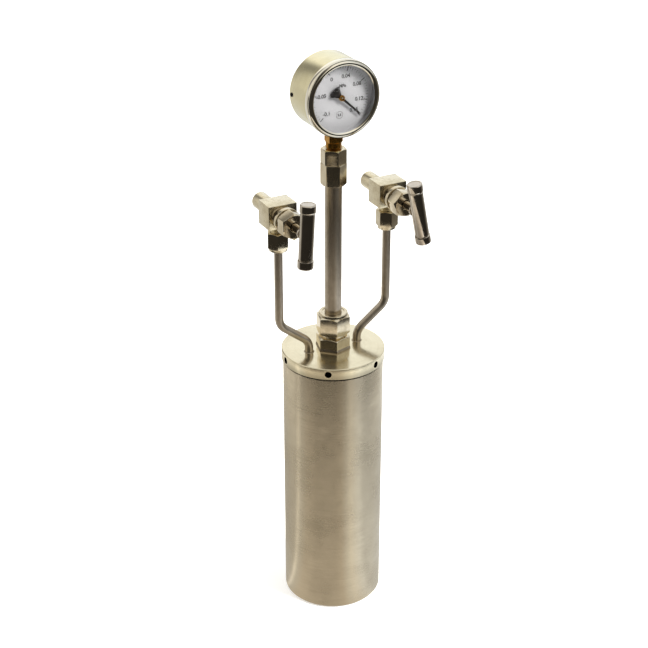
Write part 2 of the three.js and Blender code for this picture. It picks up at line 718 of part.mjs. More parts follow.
function addMovement() {

  // Plates
  const plateFootY = footTopY + RUN_GAP;
  const barX = PILLAR_SPREAD + 2;
  const backPlate = plate(
    [[-7, 6], [-7, plateFootY], [7, plateFootY], [7, 6]],
    plateBackZ,
    plateBackZ + PLATE_THICKNESS,
  );
  const backBar = plate(
    [[-barX, 2 - PILLAR_DROP], [-barX, -2 - PILLAR_DROP], [barX, -2 - PILLAR_DROP], [barX, 2 - PILLAR_DROP]],
    plateBackZ,
    plateBackZ + PLATE_THICKNESS,
  );
  const low = sectorPivotY - 4.7;
  const frontPlate = plate(
    [[-barX, -PILLAR_DROP], [-4.5, low], [4.5, low], [barX, -PILLAR_DROP], [4.5, 4.5], [-4.5, 4.5]],
    plateFrontZ,
    plateFrontZ + PLATE_THICKNESS,
  );
  const pillarPlaces = [[-PILLAR_SPREAD, -PILLAR_DROP], [PILLAR_SPREAD, -PILLAR_DROP]];
  const arborHole = rod(ARBOR_D / 2 + RUN_GAP, plateBackZ - 1, plateFrontZ + 2, SMALL_ROUND);
  const pivotHole = arborHole.translate([0, sectorPivotY, 0]);
  let back = backPlate.add(backBar).subtract(arborHole).subtract(pivotHole);
  for (const [x, y] of pillarPlaces) {
    const pillar = rod(1, plateBackZ + 0.2, plateFrontZ - SEAT_GAP, SMALL_ROUND);
    back = back.add(pillar.translate([x, y, 0]));
  }
  piece("movement_back_plate", back, BRASS, gauge);
  piece("movement_front_plate", frontPlate.subtract(arborHole).subtract(pivotHole), BRASS, gauge);

  // Pinion and arbor
  const meshTooth = -90 - TOOTH_RATIO * sectorRest;
  const pinionOutline = toothRow(pinionR, PINION_TEETH, meshTooth, PINION_TEETH);
  const pinion = plate(pinionOutline, pinionLow, pinionHigh);
  const arbor = rod(ARBOR_D / 2, plateBackZ + 0.1, dialFront + 3, SMALL_ROUND);
  piece("pinion_arbor", pinion.add(arbor), BRASS, gauge);

  // Toothed sector with its tail and its pin for the link. At mid travel a gap faces the pinion.
  const wheelTeeth = PINION_TEETH * TOOTH_RATIO;
  const firstTooth = 90 - ((SECTOR_TEETH - 1) / 2) * (360 / wheelTeeth);
  const teeth = toothRow(sectorR, wheelTeeth, firstTooth, SECTOR_TEETH);
  const blade = plate([[-1.6, 0], [1.6, 0], ...teeth], gearLow, gearHigh);
  const [tailX, tailY] = onGauge(tailAngle - sectorRest, TAIL_LENGTH);
  const tailBar = box(0, TAIL_LENGTH, -0.9, 0.9, gearLow, gearHigh)
    .rotate([0, 0, tailAngle - sectorRest]);
  const hub = rod(2, gearLow, gearHigh, SMALL_ROUND);
  const tailBoss = rod(1, gearLow, gearHigh, SMALL_ROUND).translate([tailX, tailY, 0]);
  const tailPin = rod(0.45, gearLow, gearHigh + 1.1, SMALL_ROUND).translate([tailX, tailY, 0]);
  const pivot = rod(ARBOR_D / 2, plateBackZ + 0.1, plateFrontZ + PLATE_THICKNESS, SMALL_ROUND);
  const sector = blade.add(tailBar).add(hub).add(tailBoss).add(tailPin).add(pivot)
    .rotate([0, 0, sectorRest])
    .translate([0, sectorPivotY, 0]);
  piece("sector_gear", sector, BRASS, gauge);

  // Link from the tail to the Bourdon tube's end piece
  const linkLow = gearHigh + 0.25;
  const [x, y] = tailEnd();
  const strap = box(0, LINK_LENGTH, -0.6, 0.6, linkLow, linkLow + 0.5)
    .add(rod(1.1, linkLow, linkLow + 0.5, SMALL_ROUND))
    .add(rod(1.1, linkLow, linkLow + 0.5, SMALL_ROUND).translate([LINK_LENGTH, 0, 0]))
    .subtract(rod(0.45 + FIT_GAP, linkLow - 1, linkLow + 1, SMALL_ROUND))
    .rotate([0, 0, 135])
    .translate([x, y, 0]);
  piece("link", strap, BRASS, gauge);

  // Flat spiral spring, its outer end on the front plate's side
  const springZ = pinionHigh + 0.35;
  piece("hairspring", spiral(1.5, 3.4, 3, 0.12, springZ, springZ + 0.5), BRASS, gauge);
}

function spiral(innerR, outerR, turns, thickness, low, high) {
  const count = turns * 12;
  const side = (offset) =>
    Array.from({ length: count + 1 }, (_, i) => {
      const angle = (i / count) * turns * 2 * Math.PI;
      const r = innerR + ((outerR - innerR) * i) / count + offset;
      return [r * Math.cos(angle), r * Math.sin(angle)];
    });
  return plate([...side(thickness / 2), ...side(-thickness / 2).reverse()], low, high);
}

function addPointer() {
  const low = dialFront + 1.6;
  const high = low + 0.5;
  const blade = plate(
    [[-0.7, 0], [0.7, 0], [0.45, pointerLength - 1.5], [0, pointerLength], [-0.45, pointerLength - 1.5]],
    low,
    high,
  );
  const fan = [[1, 0]];
  for (let i = 0; i <= 4; i += 1) fan.push(onGauge(-55 - 17.5 * i, POINTER_BACK));
  fan.push([-1, 0]);
  const hubHole = rod(ARBOR_D / 2 + FIT_GAP, low - 1, high + 2, SMALL_ROUND);
  const pointer = blade.add(plate(fan.reverse(), low, high)).add(rod(2, low, high, SMALL_ROUND))
    .subtract(hubHole)
    .rotate([0, 0, -POINTER_ANGLE]);
  piece("pointer", pointer, BLACK_PAINT, gauge);
  const boss = rod(1.9, high + SEAT_GAP, high + 0.8, SMALL_ROUND).subtract(hubHole);
  piece("pointer_boss", boss, BRASS, gauge);
}

// ---------------------------------------------------------------- needle valves

const sideJoint = {
  tubeR: sideTubeR,
  studWall: SIDE_STUD_WALL,
  nutWall: SIDE_NUT_WALL,
  neck: SIDE_NECK,
  nutLength: SIDE_NUT_LENGTH,
  grip: SIDE_GRIP,
  boss: SIDE_NUT_BOSS,
};
const sideStudEnd = SIDE_NECK + SIDE_NUT_LENGTH - NUT_SHOULDER - FERRULE_LENGTH;

// The valve's own frame has Z towards the handle and Y up, with its origin on the stem's axis in
// the middle of the block. The seat lies just behind that origin.
function addValve(side) {
  const valve = new THREE.Group();
  valve.position.set(side.x * VALVE_SPREAD, 0, valveZ);
  valve.rotation.x = Math.PI / 2;
  pot.add(valve);

  const chamberR = NEEDLE_D / 2 + RUN_GAP;
  const seatZ = -1;
  const stud = turnedTo(studShape(sideJoint), [90, 0, 0], [0, -BLOCK_BOTTOM, 0]);
  const inletWay = turnedTo(rod(passageR, 0, BLOCK_BOTTOM + sideStudEnd - SIDE_GRIP + 1), [90, 0, 0]);
  const block = box(
    -BLOCK_WIDTH / 2,
    BLOCK_WIDTH / 2,
    -BLOCK_BOTTOM,
    BLOCK_TOP,
    -blockHalfDepth,
    blockHalfDepth,
  )
    .add(stud)
    .subtract(rod(chamberR, seatZ, blockHalfDepth + 1))
    .subtract(rod(passageR - 0.4, -blockHalfDepth - 1, seatZ + 1, SMALL_ROUND))
    .subtract(inletWay);
  piece(`${side.name}_valve_block`, block, CAST_STEEL, valve);

  const stubFront = -blockHalfDepth - SEAT_GAP;
  const stubR = STUB_OD / 2;
  const stub = turned([
    [0, stubFront - STUB_LENGTH],
    [stubR - 1, stubFront - STUB_LENGTH],
    [stubR, stubFront - STUB_LENGTH + 1],
    [stubR, stubFront - 2.6],
    [stubR - 0.5, stubFront - 2.6],
    [stubR - 0.5, stubFront - 1.8],
    [stubR, stubFront - 1.8],
    [stubR, stubFront],
    [0, stubFront],
  ]).subtract(rod(passageR + 0.5, stubFront - STUB_LENGTH - 1, stubFront + 1, SMALL_ROUND));
  piece(`${side.name}_outlet_stub`, stub, CAST_STEEL, valve);

  const bonnetStart = blockHalfDepth + SEAT_GAP;
  const packingStart = bonnetEnd - 4;
  const bonnet = rod(bonnetR, bonnetStart, bonnetEnd)
    .subtract(rod(stemR + RUN_GAP, bonnetStart - 1, bonnetEnd + 1))
    .subtract(rod(bonnetR - 2.2, packingStart, bonnetEnd + 1));
  piece(`${side.name}_bonnet`, bonnet, POLISHED_STEEL, valve);

  const ringLow = blockHalfDepth + LOCK_RING_START;
  const ring = chamferedRod(bonnetR + FIT_GAP + LOCK_RING_WALL, ringLow, ringLow + LOCK_RING_THICKNESS, 0.4)
    .subtract(rod(bonnetR + FIT_GAP, ringLow - 1, ringLow + LOCK_RING_THICKNESS + 1));
  piece(`${side.name}_lock_ring`, ring, CAST_STEEL, valve);

  const packing = tube(
    stemR + RUN_GAP,
    bonnetR - 2.2 - RUN_GAP,
    packingStart + SEAT_GAP,
    packingStart + 2.8,
    SMALL_ROUND,
  );
  piece(`${side.name}_packing`, packing, PTFE, valve);

  const glandFloor = bonnetEnd + 0.4;
  const pusherR = bonnetR - 2.2 - RUN_GAP;
  const gland = hexBar(glandHexR, glandStart, glandEnd, side.glandTurn, true, true)
    .subtract(rod(bonnetR + FIT_GAP, glandStart - 1, glandFloor))
    .add(rod(pusherR, packingStart + 2.9, glandFloor + 1))
    .subtract(rod(stemR + RUN_GAP, packingStart, glandEnd + 1));
  piece(`${side.name}_gland_nut`, gland, CAST_STEEL, valve);

  addStem(side, valve, chamberR, seatZ);
  addSideTube(side);
}

function addStem(side, valve, chamberR, seatZ) {
  const needleR = NEEDLE_D / 2;
  const needleEnd = seatZ + SEAT_GAP + NEEDLE_LENGTH + 1;
  const needle = turned(
    [
      [0, seatZ - 1.6],
      [0.4, seatZ - 1.6],
      [needleR - 0.6, seatZ + 2.4],
      [needleR, seatZ + 2.4],
      [needleR, needleEnd],
      [1.2, needleEnd],
      [1.2, needleEnd + 2.4],
      [0, needleEnd + 2.4],
    ],
    SMALL_ROUND,
  );
  piece(`${side.name}_needle`, needle, POLISHED_STEEL, valve);

  const stemLow = needleEnd + SEAT_GAP;
  const stemTop = handleZ + 0.6;
  const tenonR = stemR - 0.5;
  const collarTop = handleZ - HANDLE_D / 2 - SEAT_GAP;
  const stem = turned([
    [0, stemLow],
    [chamberR - RUN_GAP, stemLow],
    [chamberR - RUN_GAP, blockHalfDepth],
    [stemR, blockHalfDepth],
    [stemR, collarTop - 2],
    [collarR, collarTop - 2],
    [collarR, collarTop],
    [tenonR, collarTop],
    [tenonR, stemTop],
    [0, stemTop],
  ]).subtract(rod(1.2 + FIT_GAP, stemLow - 1, stemLow + 2.8, SMALL_ROUND));
  piece(`${side.name}_stem`, stem, POLISHED_STEEL, valve);

  const half = HANDLE_LENGTH / 2;
  const barR = HANDLE_D / 2;
  const endR = HANDLE_COLLAR_D / 2;
  const end = half - HANDLE_COLLAR_LENGTH;
  const upper = [
    [barR, end - 0.01],
    [endR, end + 0.3],
    [endR, half - 0.6],
    [endR - 0.6, half],
    [endR - 1.6, half],
    [endR - 1.6, half - 1.2],
    [0, half - 1.2],
  ];
  const lower = upper.map(([r, z]) => [r, -z]).reverse();
  const bar = turnedTo(turned([...lower, ...upper]), [-90, 0, 0], [0, 0, handleZ]);
  const socket = rod(tenonR + FIT_GAP, handleZ - barR - 1, stemTop + SEAT_GAP);
  const handle = bar.subtract(socket).rotate([0, 0, side.handleTurn]);
  piece(`${side.name}_handle`, handle, POLISHED_STEEL, valve);
}

// ---------------------------------------------------------------- side tubes

function addSideTube(side) {
  const joint = new THREE.Group();
  joint.position.set(side.x * VALVE_SPREAD, 0, valveZ - BLOCK_BOTTOM);
  joint.rotation.x = Math.PI;
  pot.add(joint);
  piece(`${side.name}_tube_nut`, nutShape({ ...sideJoint, turn: side.nutTurn }), CAST_STEEL, joint);
  piece(`${side.name}_ferrule`, ferruleShape(sideJoint), POLISHED_STEEL, joint);

  const tubeTop = valveZ - BLOCK_BOTTOM - sideStudEnd + SIDE_GRIP - RUN_GAP;
  const lowZ = lidTop + SIDE_TUBE_LOW_CORNER;
  const fall = (VALVE_SPREAD - SIDE_TUBE_LID_RADIUS) * Math.tan(radians(SIDE_TUBE_FALL));
  const corners = [
    [VALVE_SPREAD, tubeTop],
    [VALVE_SPREAD, lowZ + fall],
    [SIDE_TUBE_LID_RADIUS, lowZ],
    [SIDE_TUBE_LID_RADIUS, lidBottom + RUN_GAP],
  ].map(([x, z]) => new THREE.Vector3(side.x * x, 0, z));
  const section = new THREE.Shape();
  section.absarc(0, 0, sideTubeR, 0, 2 * Math.PI, false);
  const hollow = new THREE.Path();
  hollow.absarc(0, 0, sideTubeR - SIDE_TUBE_WALL, 0, 2 * Math.PI, false);
  section.holes.push(hollow);
  const options = {
    steps: 32,
    extrudePath: roundedRoute(corners, SIDE_TUBE_BEND),
    bevelEnabled: false,
    curveSegments: 4,
  };
  piece(`${side.name}_side_tube`, new THREE.ExtrudeGeometry(section, options), TUBE_STEEL);
}

// Straight runs between corners, with each corner rounded to the bend radius.
function roundedRoute(corners, radius) {
  const route = new THREE.CurvePath();
  let from = corners[0];
  for (let i = 1; i < corners.length - 1; i += 1) {
    const inward = corners[i - 1].clone().sub(corners[i]).normalize();
    const outward = corners[i + 1].clone().sub(corners[i]).normalize();
    const half = inward.angleTo(outward) / 2;
    const setback = radius / Math.tan(half);
    const start = corners[i].clone().addScaledVector(inward, setback);
    const end = corners[i].clone().addScaledVector(outward, setback);
    const reach = (4 / 3) * radius * Math.tan((Math.PI / 2 - half) / 2);
    route.add(new THREE.LineCurve3(from, start));
    route.add(
      new THREE.CubicBezierCurve3(
        start,
        start.clone().addScaledVector(inward, -reach),
        end.clone().addScaledVector(outward, -reach),
        end,
      ),
    );
    from = end;
  }
  route.add(new THREE.LineCurve3(from, corners.at(-1)));
  return route;
}

// ---------------------------------------------------------------- assembly

addVessel();
addLid();
addRiser();
addAdapter();
addCase();
addFace();
addSocket();
addBourdonTube();
addMovement();
addPointer();
SIDES.forEach(addValve);

export default pot;
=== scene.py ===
from math import atan, copysign, cos, pi, radians, sin, sqrt, tan
from random import Random

import bmesh
import bpy
from mathutils import Matrix, Vector


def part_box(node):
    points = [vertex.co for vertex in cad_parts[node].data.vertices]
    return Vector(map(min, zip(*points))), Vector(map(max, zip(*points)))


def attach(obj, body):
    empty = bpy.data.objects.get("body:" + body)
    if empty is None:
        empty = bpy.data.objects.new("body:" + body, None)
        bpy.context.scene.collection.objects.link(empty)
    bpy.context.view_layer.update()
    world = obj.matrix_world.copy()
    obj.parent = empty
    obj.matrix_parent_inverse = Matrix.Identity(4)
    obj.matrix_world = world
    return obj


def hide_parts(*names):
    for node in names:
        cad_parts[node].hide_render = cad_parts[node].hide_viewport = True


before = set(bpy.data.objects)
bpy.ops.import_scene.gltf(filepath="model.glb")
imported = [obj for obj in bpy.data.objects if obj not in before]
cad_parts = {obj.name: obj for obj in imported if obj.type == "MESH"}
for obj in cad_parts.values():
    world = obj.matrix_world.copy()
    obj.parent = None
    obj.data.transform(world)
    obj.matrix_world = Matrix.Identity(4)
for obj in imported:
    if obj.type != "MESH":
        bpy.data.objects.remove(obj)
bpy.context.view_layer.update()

MM = 0.001
TAU = 2 * pi
TIPPED = Matrix.Rotation(pi / 2, 4, "X")  # turns Z to -Y
HALF_HEX = pi / 6

# ---------- sizes, in millimetres


def span(node):
    """A CAD node's lowest and highest corner."""
    low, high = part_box(node)
    return low / MM, high / MM


def depths(node):
    """How far back and how far forward a CAD node lies, measured towards the front."""
    low, high = span(node)
    return -high.y, -low.y


WALL_HIGH = span("vessel_wall")[1]
BASE_HIGH = span("vessel_base")[1]
SEAL_LOW, SEAL_HIGH = span("lid_seal")
LID_LOW, LID_HIGH = span("lid")
CASE_LOW, CASE_HIGH = span("gauge_case")

FIT = 0.15  # radial gap round what is fixed in a hole
RUN = 0.3  # radial gap round what turns
CHAMFER_FACE = 0.965  # share of a nut's flats at which its chamfer meets the end face
BORE_R = BASE_HIGH.x + FIT
BORE_THREAD = (184.0, 196.6)
SPIGOT_R = BORE_R - RUN
SPIGOT_NECK = 0.6  # depth of the relief above the spigot's thread
SPIGOT_THREAD_TOP = 196.4
FLANGE_BOTTOM = 199.2
LID_TOP = LID_HIGH.z
LID_PITCH = 2.0
LID_THREAD_SWING = 0.45
SEAL_GROOVE_HALF = 1.4
SPANNER_HOLES = 6
SPANNER_HOLE_R = 2.5
SPANNER_HOLE_DEPTH = 6.0
SPANNER_HOLE_ANGLE = 27.0
PASSAGE_R = 2.0

RISER_R = span("riser_tube")[1].x
RISER_WALL = 2.0
RISER_HEX_TOP = 217.05
HEX_22 = 11.0
HEX_16 = 8.0
RISER_TURN = -14.4
ADAPTER_TURN = -7.0
NUT_COLLAR = 2.1  # height of the riser nut's round end
NUT_COLLAR_R = 10.55
WELD_BAR_CORNER = 1.2
WELD_RISE = ((0.6, 0.0), (0.56, 0.4), (0.42, 0.9), (0.22, 1.4), (0.03, 1.9))  # out and up from the flats

GAUGE_Z = (CASE_LOW.z + CASE_HIGH.z) / 2
CASE_R = CASE_HIGH.x
CASE_WALL = 0.8
CASE_SCREW_HOLE_R = 1.05
BEZEL_R = span("bezel")[1].x
BEZEL_ROLL = 2.5  # radius of its front edge
DIAL_FRONT = depths("dial")[1]
SOCKET_FLATS = 10.4
SOCKET_CORNER_R = 6.45
SOCKET_SQUARE_END = 363.55
SOCKET_FOOT_TOP = 19.7  # below the gauge's axis

BONNET_R = 7.5
VALVE_X = span("right_bonnet")[1].x - BONNET_R
VALVE_Z = (span("right_bonnet")[0].z + span("right_bonnet")[1].z) / 2
VALVE_HALF_X = 10.65
VALVE_HALF_Y = 8.25
VALVE_BOTTOM = 311.2
VALVE_PITCH = 1.25
LOCK_RING_R = 9.3
GLAND_FLAT = 8.5
GLAND_FLOOR = 4.7  # thickness of the gland's end
TUBE_NUT_FLAT = 7.0
HANDLE_LENGTH = 45.7
HANDLE_R = 5.0
HANDLE_END_R = 5.5
HANDLE_COLLAR = 5.8
SIDE_TUBE_R = 3.0
SIDE_TUBE_WALL = 1.0
SIDE_TUBE_LID_X = 19.5
SIDE_TUBE_BEND = 11.0
SIDE_TUBE_SLOPE = 37.5  # degrees
SIDE_TUBE_RISE = 8.2  # from the lid's top to the lower bend
SIDES = {
    "left": {"x": -1, "handle": -3.0, "gland": 0.0, "nut": -27.5},
    "right": {"x": 1, "handle": 11.0, "gland": 18.0, "nut": -6.0},
}

DIAL_LOW, DIAL_HIGH = -0.1, 0.15  # MPa at the ends of the scale
DIAL_SWEEP = 270.0
DIAL_STEPS = 50
TICK_OUTER = 21.2
PRINT_HEIGHT = 0.035
PRINT_LIFT = 0.01  # how far the print reaches into the dial
NUMERALS = (-0.1, -0.05, 0.0, 0.04, 0.08, 0.12, 0.15)
NUMERAL_R = 14.6
CLASS_MARK = (-0.6, -12.4)
POINTER_ANGLE = 133.0
POINTER_LENGTH = 19.9
POINTER_BACK = 8.6

# Camera, in metres and degrees
CAMERA_PLACE = (-0.4659, -0.8808, 0.7258)
CAMERA_HEADING = 27.5
CAMERA_PITCH = 26.69
CAMERA_LENS = 85.9
CAMERA_SENSOR = 36.0

# Brightness of the surround by heading from the camera's side, in degrees: below the horizon, at the
# height of the walls, and overhead. The edges between them are sines of the height above the horizon.
WARM = (1.0, 0.96, 0.88)
COOL = (0.97, 0.99, 1.0)
DARK = (1.0, 0.9, 0.76)
LOW_EDGE = (-0.10, 0.10)
HIGH_EDGE = (0.60, 0.85)
LOW_BAND = [
    (-180, 0.85, COOL), (-125, 0.66, WARM), (-96, 0.58, WARM), (-86, 0.14, DARK), (-70, 0.035, DARK),
    (84, 0.03, DARK), (104, 0.14, DARK), (124, 0.34, WARM), (142, 0.70, COOL), (180, 0.85, COOL),
]
MIDDLE_BAND = [
    (-180, 1.15, COOL), (-152, 1.10, WARM), (-142, 0.26, WARM), (-133, 0.22, WARM), (-122, 0.80, WARM),
    (-90, 0.70, WARM), (-84, 1.3, WARM), (-77, 0.70, WARM), (-52, 0.30, WARM), (-36, 0.06, DARK),
    (14, 0.05, DARK), (28, 0.18, DARK), (38, 1.0, WARM), (64, 1.0, COOL), (76, 0.60, COOL), (125, 0.85, COOL),
    (180, 1.15, COOL),
]
HIGH_BAND = [(-180, 0.95, COOL), (0, 0.80, WARM), (180, 0.95, COOL)]
# The paper's brightness by heading. Its edge and its middle are brighter, between two radii in metres.
PAPER_BAND = [
    (-180, 0.55, COOL), (-150, 0.40, WARM), (-130, 0.37, WARM), (-100, 0.38, WARM), (-90, 0.42, WARM),
    (-82, 0.68, WARM), (-75, 0.43, WARM), (-58, 0.41, DARK), (-44, 0.40, DARK), (-36, 0.375, DARK),
    (6, 0.375, DARK), (18, 0.42, DARK), (30, 0.50, WARM), (38, 0.60, WARM), (58, 0.64, COOL),
    (72, 0.52, COOL), (125, 0.50, COOL), (180, 0.55, COOL),
]
PAPER_RADIUS = 502
PAPER_EDGE = (0.30, 0.46)
PAPER_EDGE_GLOW = 1.45
PAPER_NEAR = (0.06, 0.30)
PAPER_NEAR_GLOW = 1.35
KEY_PLACE = (0.55, -0.75, 1.15)
KEY_AIM = (0, 0, 0.3)
KEY_SIZE = (0.35, 0.5)
KEY_POWER = 40.0

# ---------- placing


def upright(x=0.0, z=0.0):
    """A frame that stands on the pot's own axes at that point."""
    return Matrix.Translation(Vector((x, 0, z)) * MM)


def facing(x, z):
    """A frame whose Z runs to the front and whose Y runs up, at that point."""
    return upright(x, z) @ TIPPED


GAUGE = facing(0, GAUGE_Z)
UNDER_GAUGE = GAUGE @ TIPPED  # Z runs down from the gauge's axis

# ---------- mesh making


SHARP = 28  # degrees from which an edge stays sharp


def shade(mesh, angle=SHARP):
    mesh.shade_smooth()
    mesh.set_sharp_from_angle(angle=radians(angle))


def link(name, data, place):
    """An object in the scene, at a place."""
    made = bpy.data.objects.new(name, data)
    bpy.context.scene.collection.objects.link(made)
    made.matrix_world = place
    return made


def finished(name, mesh, work, place, angle=SHARP):
    """An object from a mesh being worked on."""
    work.to_mesh(mesh)
    work.free()
    shade(mesh, angle)
    return link(name, mesh, place)


def make(name, points, faces, place, angle=SHARP):
    """A mesh object from points in millimetres, closed and facing out."""
    mesh = bpy.data.meshes.new(name)
    mesh.from_pydata([tuple(c * MM for c in p) for p in points], [], faces)
    work = bmesh.new()
    work.from_mesh(mesh)
    bmesh.ops.remove_doubles(work, verts=work.verts, dist=1e-7)
    bmesh.ops.recalc_face_normals(work, faces=work.faces)
    return finished(name, mesh, work, place, angle)


def eased(corners, radius=0.3, steps=3, ring=None):
    """An outline with its corners rounded. A corner's third number is its own radius. It is a closed ring
    if it starts off the axis, unless ring says otherwise."""
    ring = corners[0][0] > 0 if ring is None else ring
    count = len(corners)
    made = []
    for i, corner in enumerate(corners):
        here = Vector(corner[:2])
        own = corner[2] if len(corner) > 2 else radius
        if own == 0 or (not ring and i in (0, count - 1)):
            made.append(tuple(here))
            continue
        before = Vector(corners[i - 1][:2]) - here
        after = Vector(corners[(i + 1) % count][:2]) - here
        if before.length < 1e-6 or after.length < 1e-6:
            made.append(tuple(here))
            continue
        half = before.angle(after) / 2
        setback = min(own / tan(max(half, 0.05)), 0.45 * before.length, 0.45 * after.length)
        start = here + before.normalized() * setback
        end = here + after.normalized() * setback
        for k in range(steps + 1):
            t = k / steps
            made.append(tuple(start * (1 - t) ** 2 + here * 2 * t * (1 - t) + end * t * t))
    return made


def round_mesh(name, place, angles, columns):
    """One outline of (r, z) points standing at each angle about Z, joined into a surface. An outline that
    starts off the axis closes on itself."""
    ring = columns[0][0][0] > 0
    points = [(r * cos(a), r * sin(a), z) for a, column in zip(angles, columns) for r, z in column]
    rows, turns = len(columns[0]), len(angles)
    faces = []
    for i in range(turns):
        here, there = i * rows, (i + 1) % turns * rows
        for k in range(rows if ring else rows - 1):
            up = (k + 1) % rows
            faces.append((here + k, there + k, there + up, here + up))
    return make(name, points, faces, place)


def revolve(name, place, outline, sides=96):
    """Turns an outline about Z. The outline is a list, or a function of the angle."""
    angles = [TAU * i / sides for i in range(sides)]
    columns = [outline(a) if callable(outline) else outline for a in angles]
    return round_mesh(name, place, angles, columns)


def hollow(inner, outer, low, high, ease=0.25):
    """The outline of a tube's wall, for a closed ring."""
    return eased([(inner, low), (outer, low), (outer, high), (inner, high)], ease)


def wave(turns):
    """A triangle wave from -1 to 1 with flattened tips."""
    share = turns % 1
    return max(-0.8, min(0.8, 4 * abs(share - 0.5) - 1)) / 0.8


def thread_rows(radius, low, high, pitch, swing, angle):
    """Rows of a right-hand thread that fades out at both ends, from low to high."""
    rows = []
    count = round((high - low) / (pitch / 8))
    for i in range(count + 1):
        z = low + (high - low) * i / count
        fade = min(1.0, (z - low) / pitch, (high - z) / pitch)
        rows.append((radius + fade * swing * wave(z / pitch - angle / TAU), z))
    return rows


def polygon_radius(angle, sides, flat, corner):
    """The radius at an angle of a bar with rounded corners and a corner at angle 0."""
    step = TAU / sides
    off = (angle + step / 2) % step - step / 2
    slope = step / 2 - abs(off)
    if flat * tan(slope) <= (flat - corner) * tan(step / 2):
        return flat / cos(slope)
    centre = (flat - corner) / cos(step / 2)
    return centre * cos(off) + sqrt(max(corner**2 - (centre * sin(off)) ** 2, 0))


def polygon_angles(sides, flat, corner):
    """Angles round a bar, close together at its corners."""
    step = TAU / sides
    edge = step / 2 - atan((flat - corner) * tan(step / 2) / flat)
    half = [edge * k / 3 for k in range(4)] + [edge + (step / 2 - edge) * k / 6 for k in range(1, 7)]
    offsets = [-o for o in half[-2:0:-1]] + half
    return [i * step + o for i in range(sides) for o in offsets]


def bar(name, place, flat, section, turn=0.0, sides=6, corner=0.45):
    """A polygon bar about Z with a corner towards -Y at turn 0. section(radius) is its closed outline."""
    angles = polygon_angles(sides, flat, corner)
    columns = [section(polygon_radius(a, sides, flat, corner)) for a in angles]
    start = radians(turn - 90)
    return round_mesh(name, place, [a + start for a in angles], columns)


def nut_section(flat, inner, low, high, soft_low=True, soft_high=True, lower=(), upper=()):
    """The outline of a nut at one radius: a bore, and corners taken down at either end.
    lower and upper are more (r, z) points, walked from the bore outwards and from the face inwards."""
    face = flat * CHAMFER_FACE
    slope = tan(HALF_HEX)

    def section(radius):
        drop_low = (radius - face) * slope if soft_low else 0.2
        drop_high = (radius - face) * slope if soft_high else 0.2
        face_low = face if soft_low else radius - 0.2
        face_high = face if soft_high else radius - 0.2
        corners = [(inner, lower[0][1] if lower else low)]
        corners += [*lower, (face_low, low), (radius, low + drop_low)]
        corners += [(radius, high - drop_high), (face_high, high), *upper]
        corners += [(inner, upper[-1][1] if upper else high)]
        return eased(corners, 0.18)

    return section


def cut(piece, *cutters):
    """Takes the cutters out of a piece, and removes them."""
    for cutter in cutters:
        modifier = piece.modifiers.new("cut", "BOOLEAN")
        modifier.operation = "DIFFERENCE"
        modifier.solver = "EXACT"
        modifier.object = cutter
    bpy.context.view_layer.update()
    graph = bpy.context.evaluated_depsgraph_get()
    mesh = bpy.data.meshes.new_from_object(piece.evaluated_get(graph))
    piece.modifiers.clear()
    piece.data = mesh
    shade(mesh)
    for cutter in cutters:
        bpy.data.objects.remove(cutter)
    return piece


def drill(place, radius, low, high, sides=40):
    """A cutter in the shape of a drill, with a cone at its lower end."""
    tip = low - radius * tan(HALF_HEX)
    return revolve("drill", place, [(0, tip), (radius, low), (radius, high), (0, high)], sides)


def block(name, place, low, high, ease=0.35):
    """A box with rounded edges between two corners."""
    mesh = bpy.data.meshes.new(name)
    work = bmesh.new()
    bmesh.ops.create_cube(work, size=1)
    middle = (Vector(low) + Vector(high)) / 2 * MM
    size = (Vector(high) - Vector(low)) * MM
    for vertex in work.verts:
        vertex.co = Vector(c * s for c, s in zip(vertex.co, size)) + middle
    bmesh.ops.bevel(work, geom=work.edges[:], offset=ease * MM, segments=3, profile=0.5, affect="EDGES")
    return finished(name, mesh, work, place)


def joined(name, place, *pieces):
    """One object from several, in the given frame."""
    first = pieces[0]
    work = bmesh.new()
    for piece in pieces:
        mesh = piece.data.copy()
        mesh.transform(place.inverted() @ piece.matrix_world)
        work.from_mesh(mesh)
    mesh = bpy.data.meshes.new(name)
    work.to_mesh(mesh)
    work.free()
    shade(mesh)
    first.data = mesh
    first.name = name
    first.matrix_world = place
    for piece in pieces[1:]:
        bpy.data.objects.remove(piece)
    return first


def bead(name, place, radius, width, height, ripples, seed):
    """A weld bead round Z at a radius: a low ridge with overlapping ripples."""
    chance = Random(seed)
    sway = [chance.uniform(-1, 1) for _ in range(8)]

    def outline(angle):
        rough = sum(s * sin((i + 2) * angle + 3 * s) for i, s in enumerate(sway)) / 8
        lap = abs(sin(angle * ripples / 2))
        top = height * (0.72 + 0.2 * lap + 0.22 * rough)
        out = width * (0.82 + 0.12 * lap + 0.2 * rough)
        arc = [pi / 2 * k / 6 for k in range(7)]
        return [(radius, 0), *((radius + out * cos(a), top * sin(a)) for a in arc)]

    return revolve(name, place, outline, 180)


# ---------- materials

# Marks per metre: round and along a turned piece, along a drawn one, and on a cast one
RING_MARKS = 3000.0
SLOW_MARKS = 55.0
LONG_MARKS = (3200, 3200, 45)
CAST_MARKS = (900, 900, 900)
PIT_SCALE = 620.0
PIT_COLOUR = (0.10, 0.085, 0.06)
SHADOW_COLOUR = (0.012, 0.010, 0.008)
FINISHES = {}  # each material by its name
METAL_RELIEF = 0.00008
PLAIN_RELIEF = 0.00006


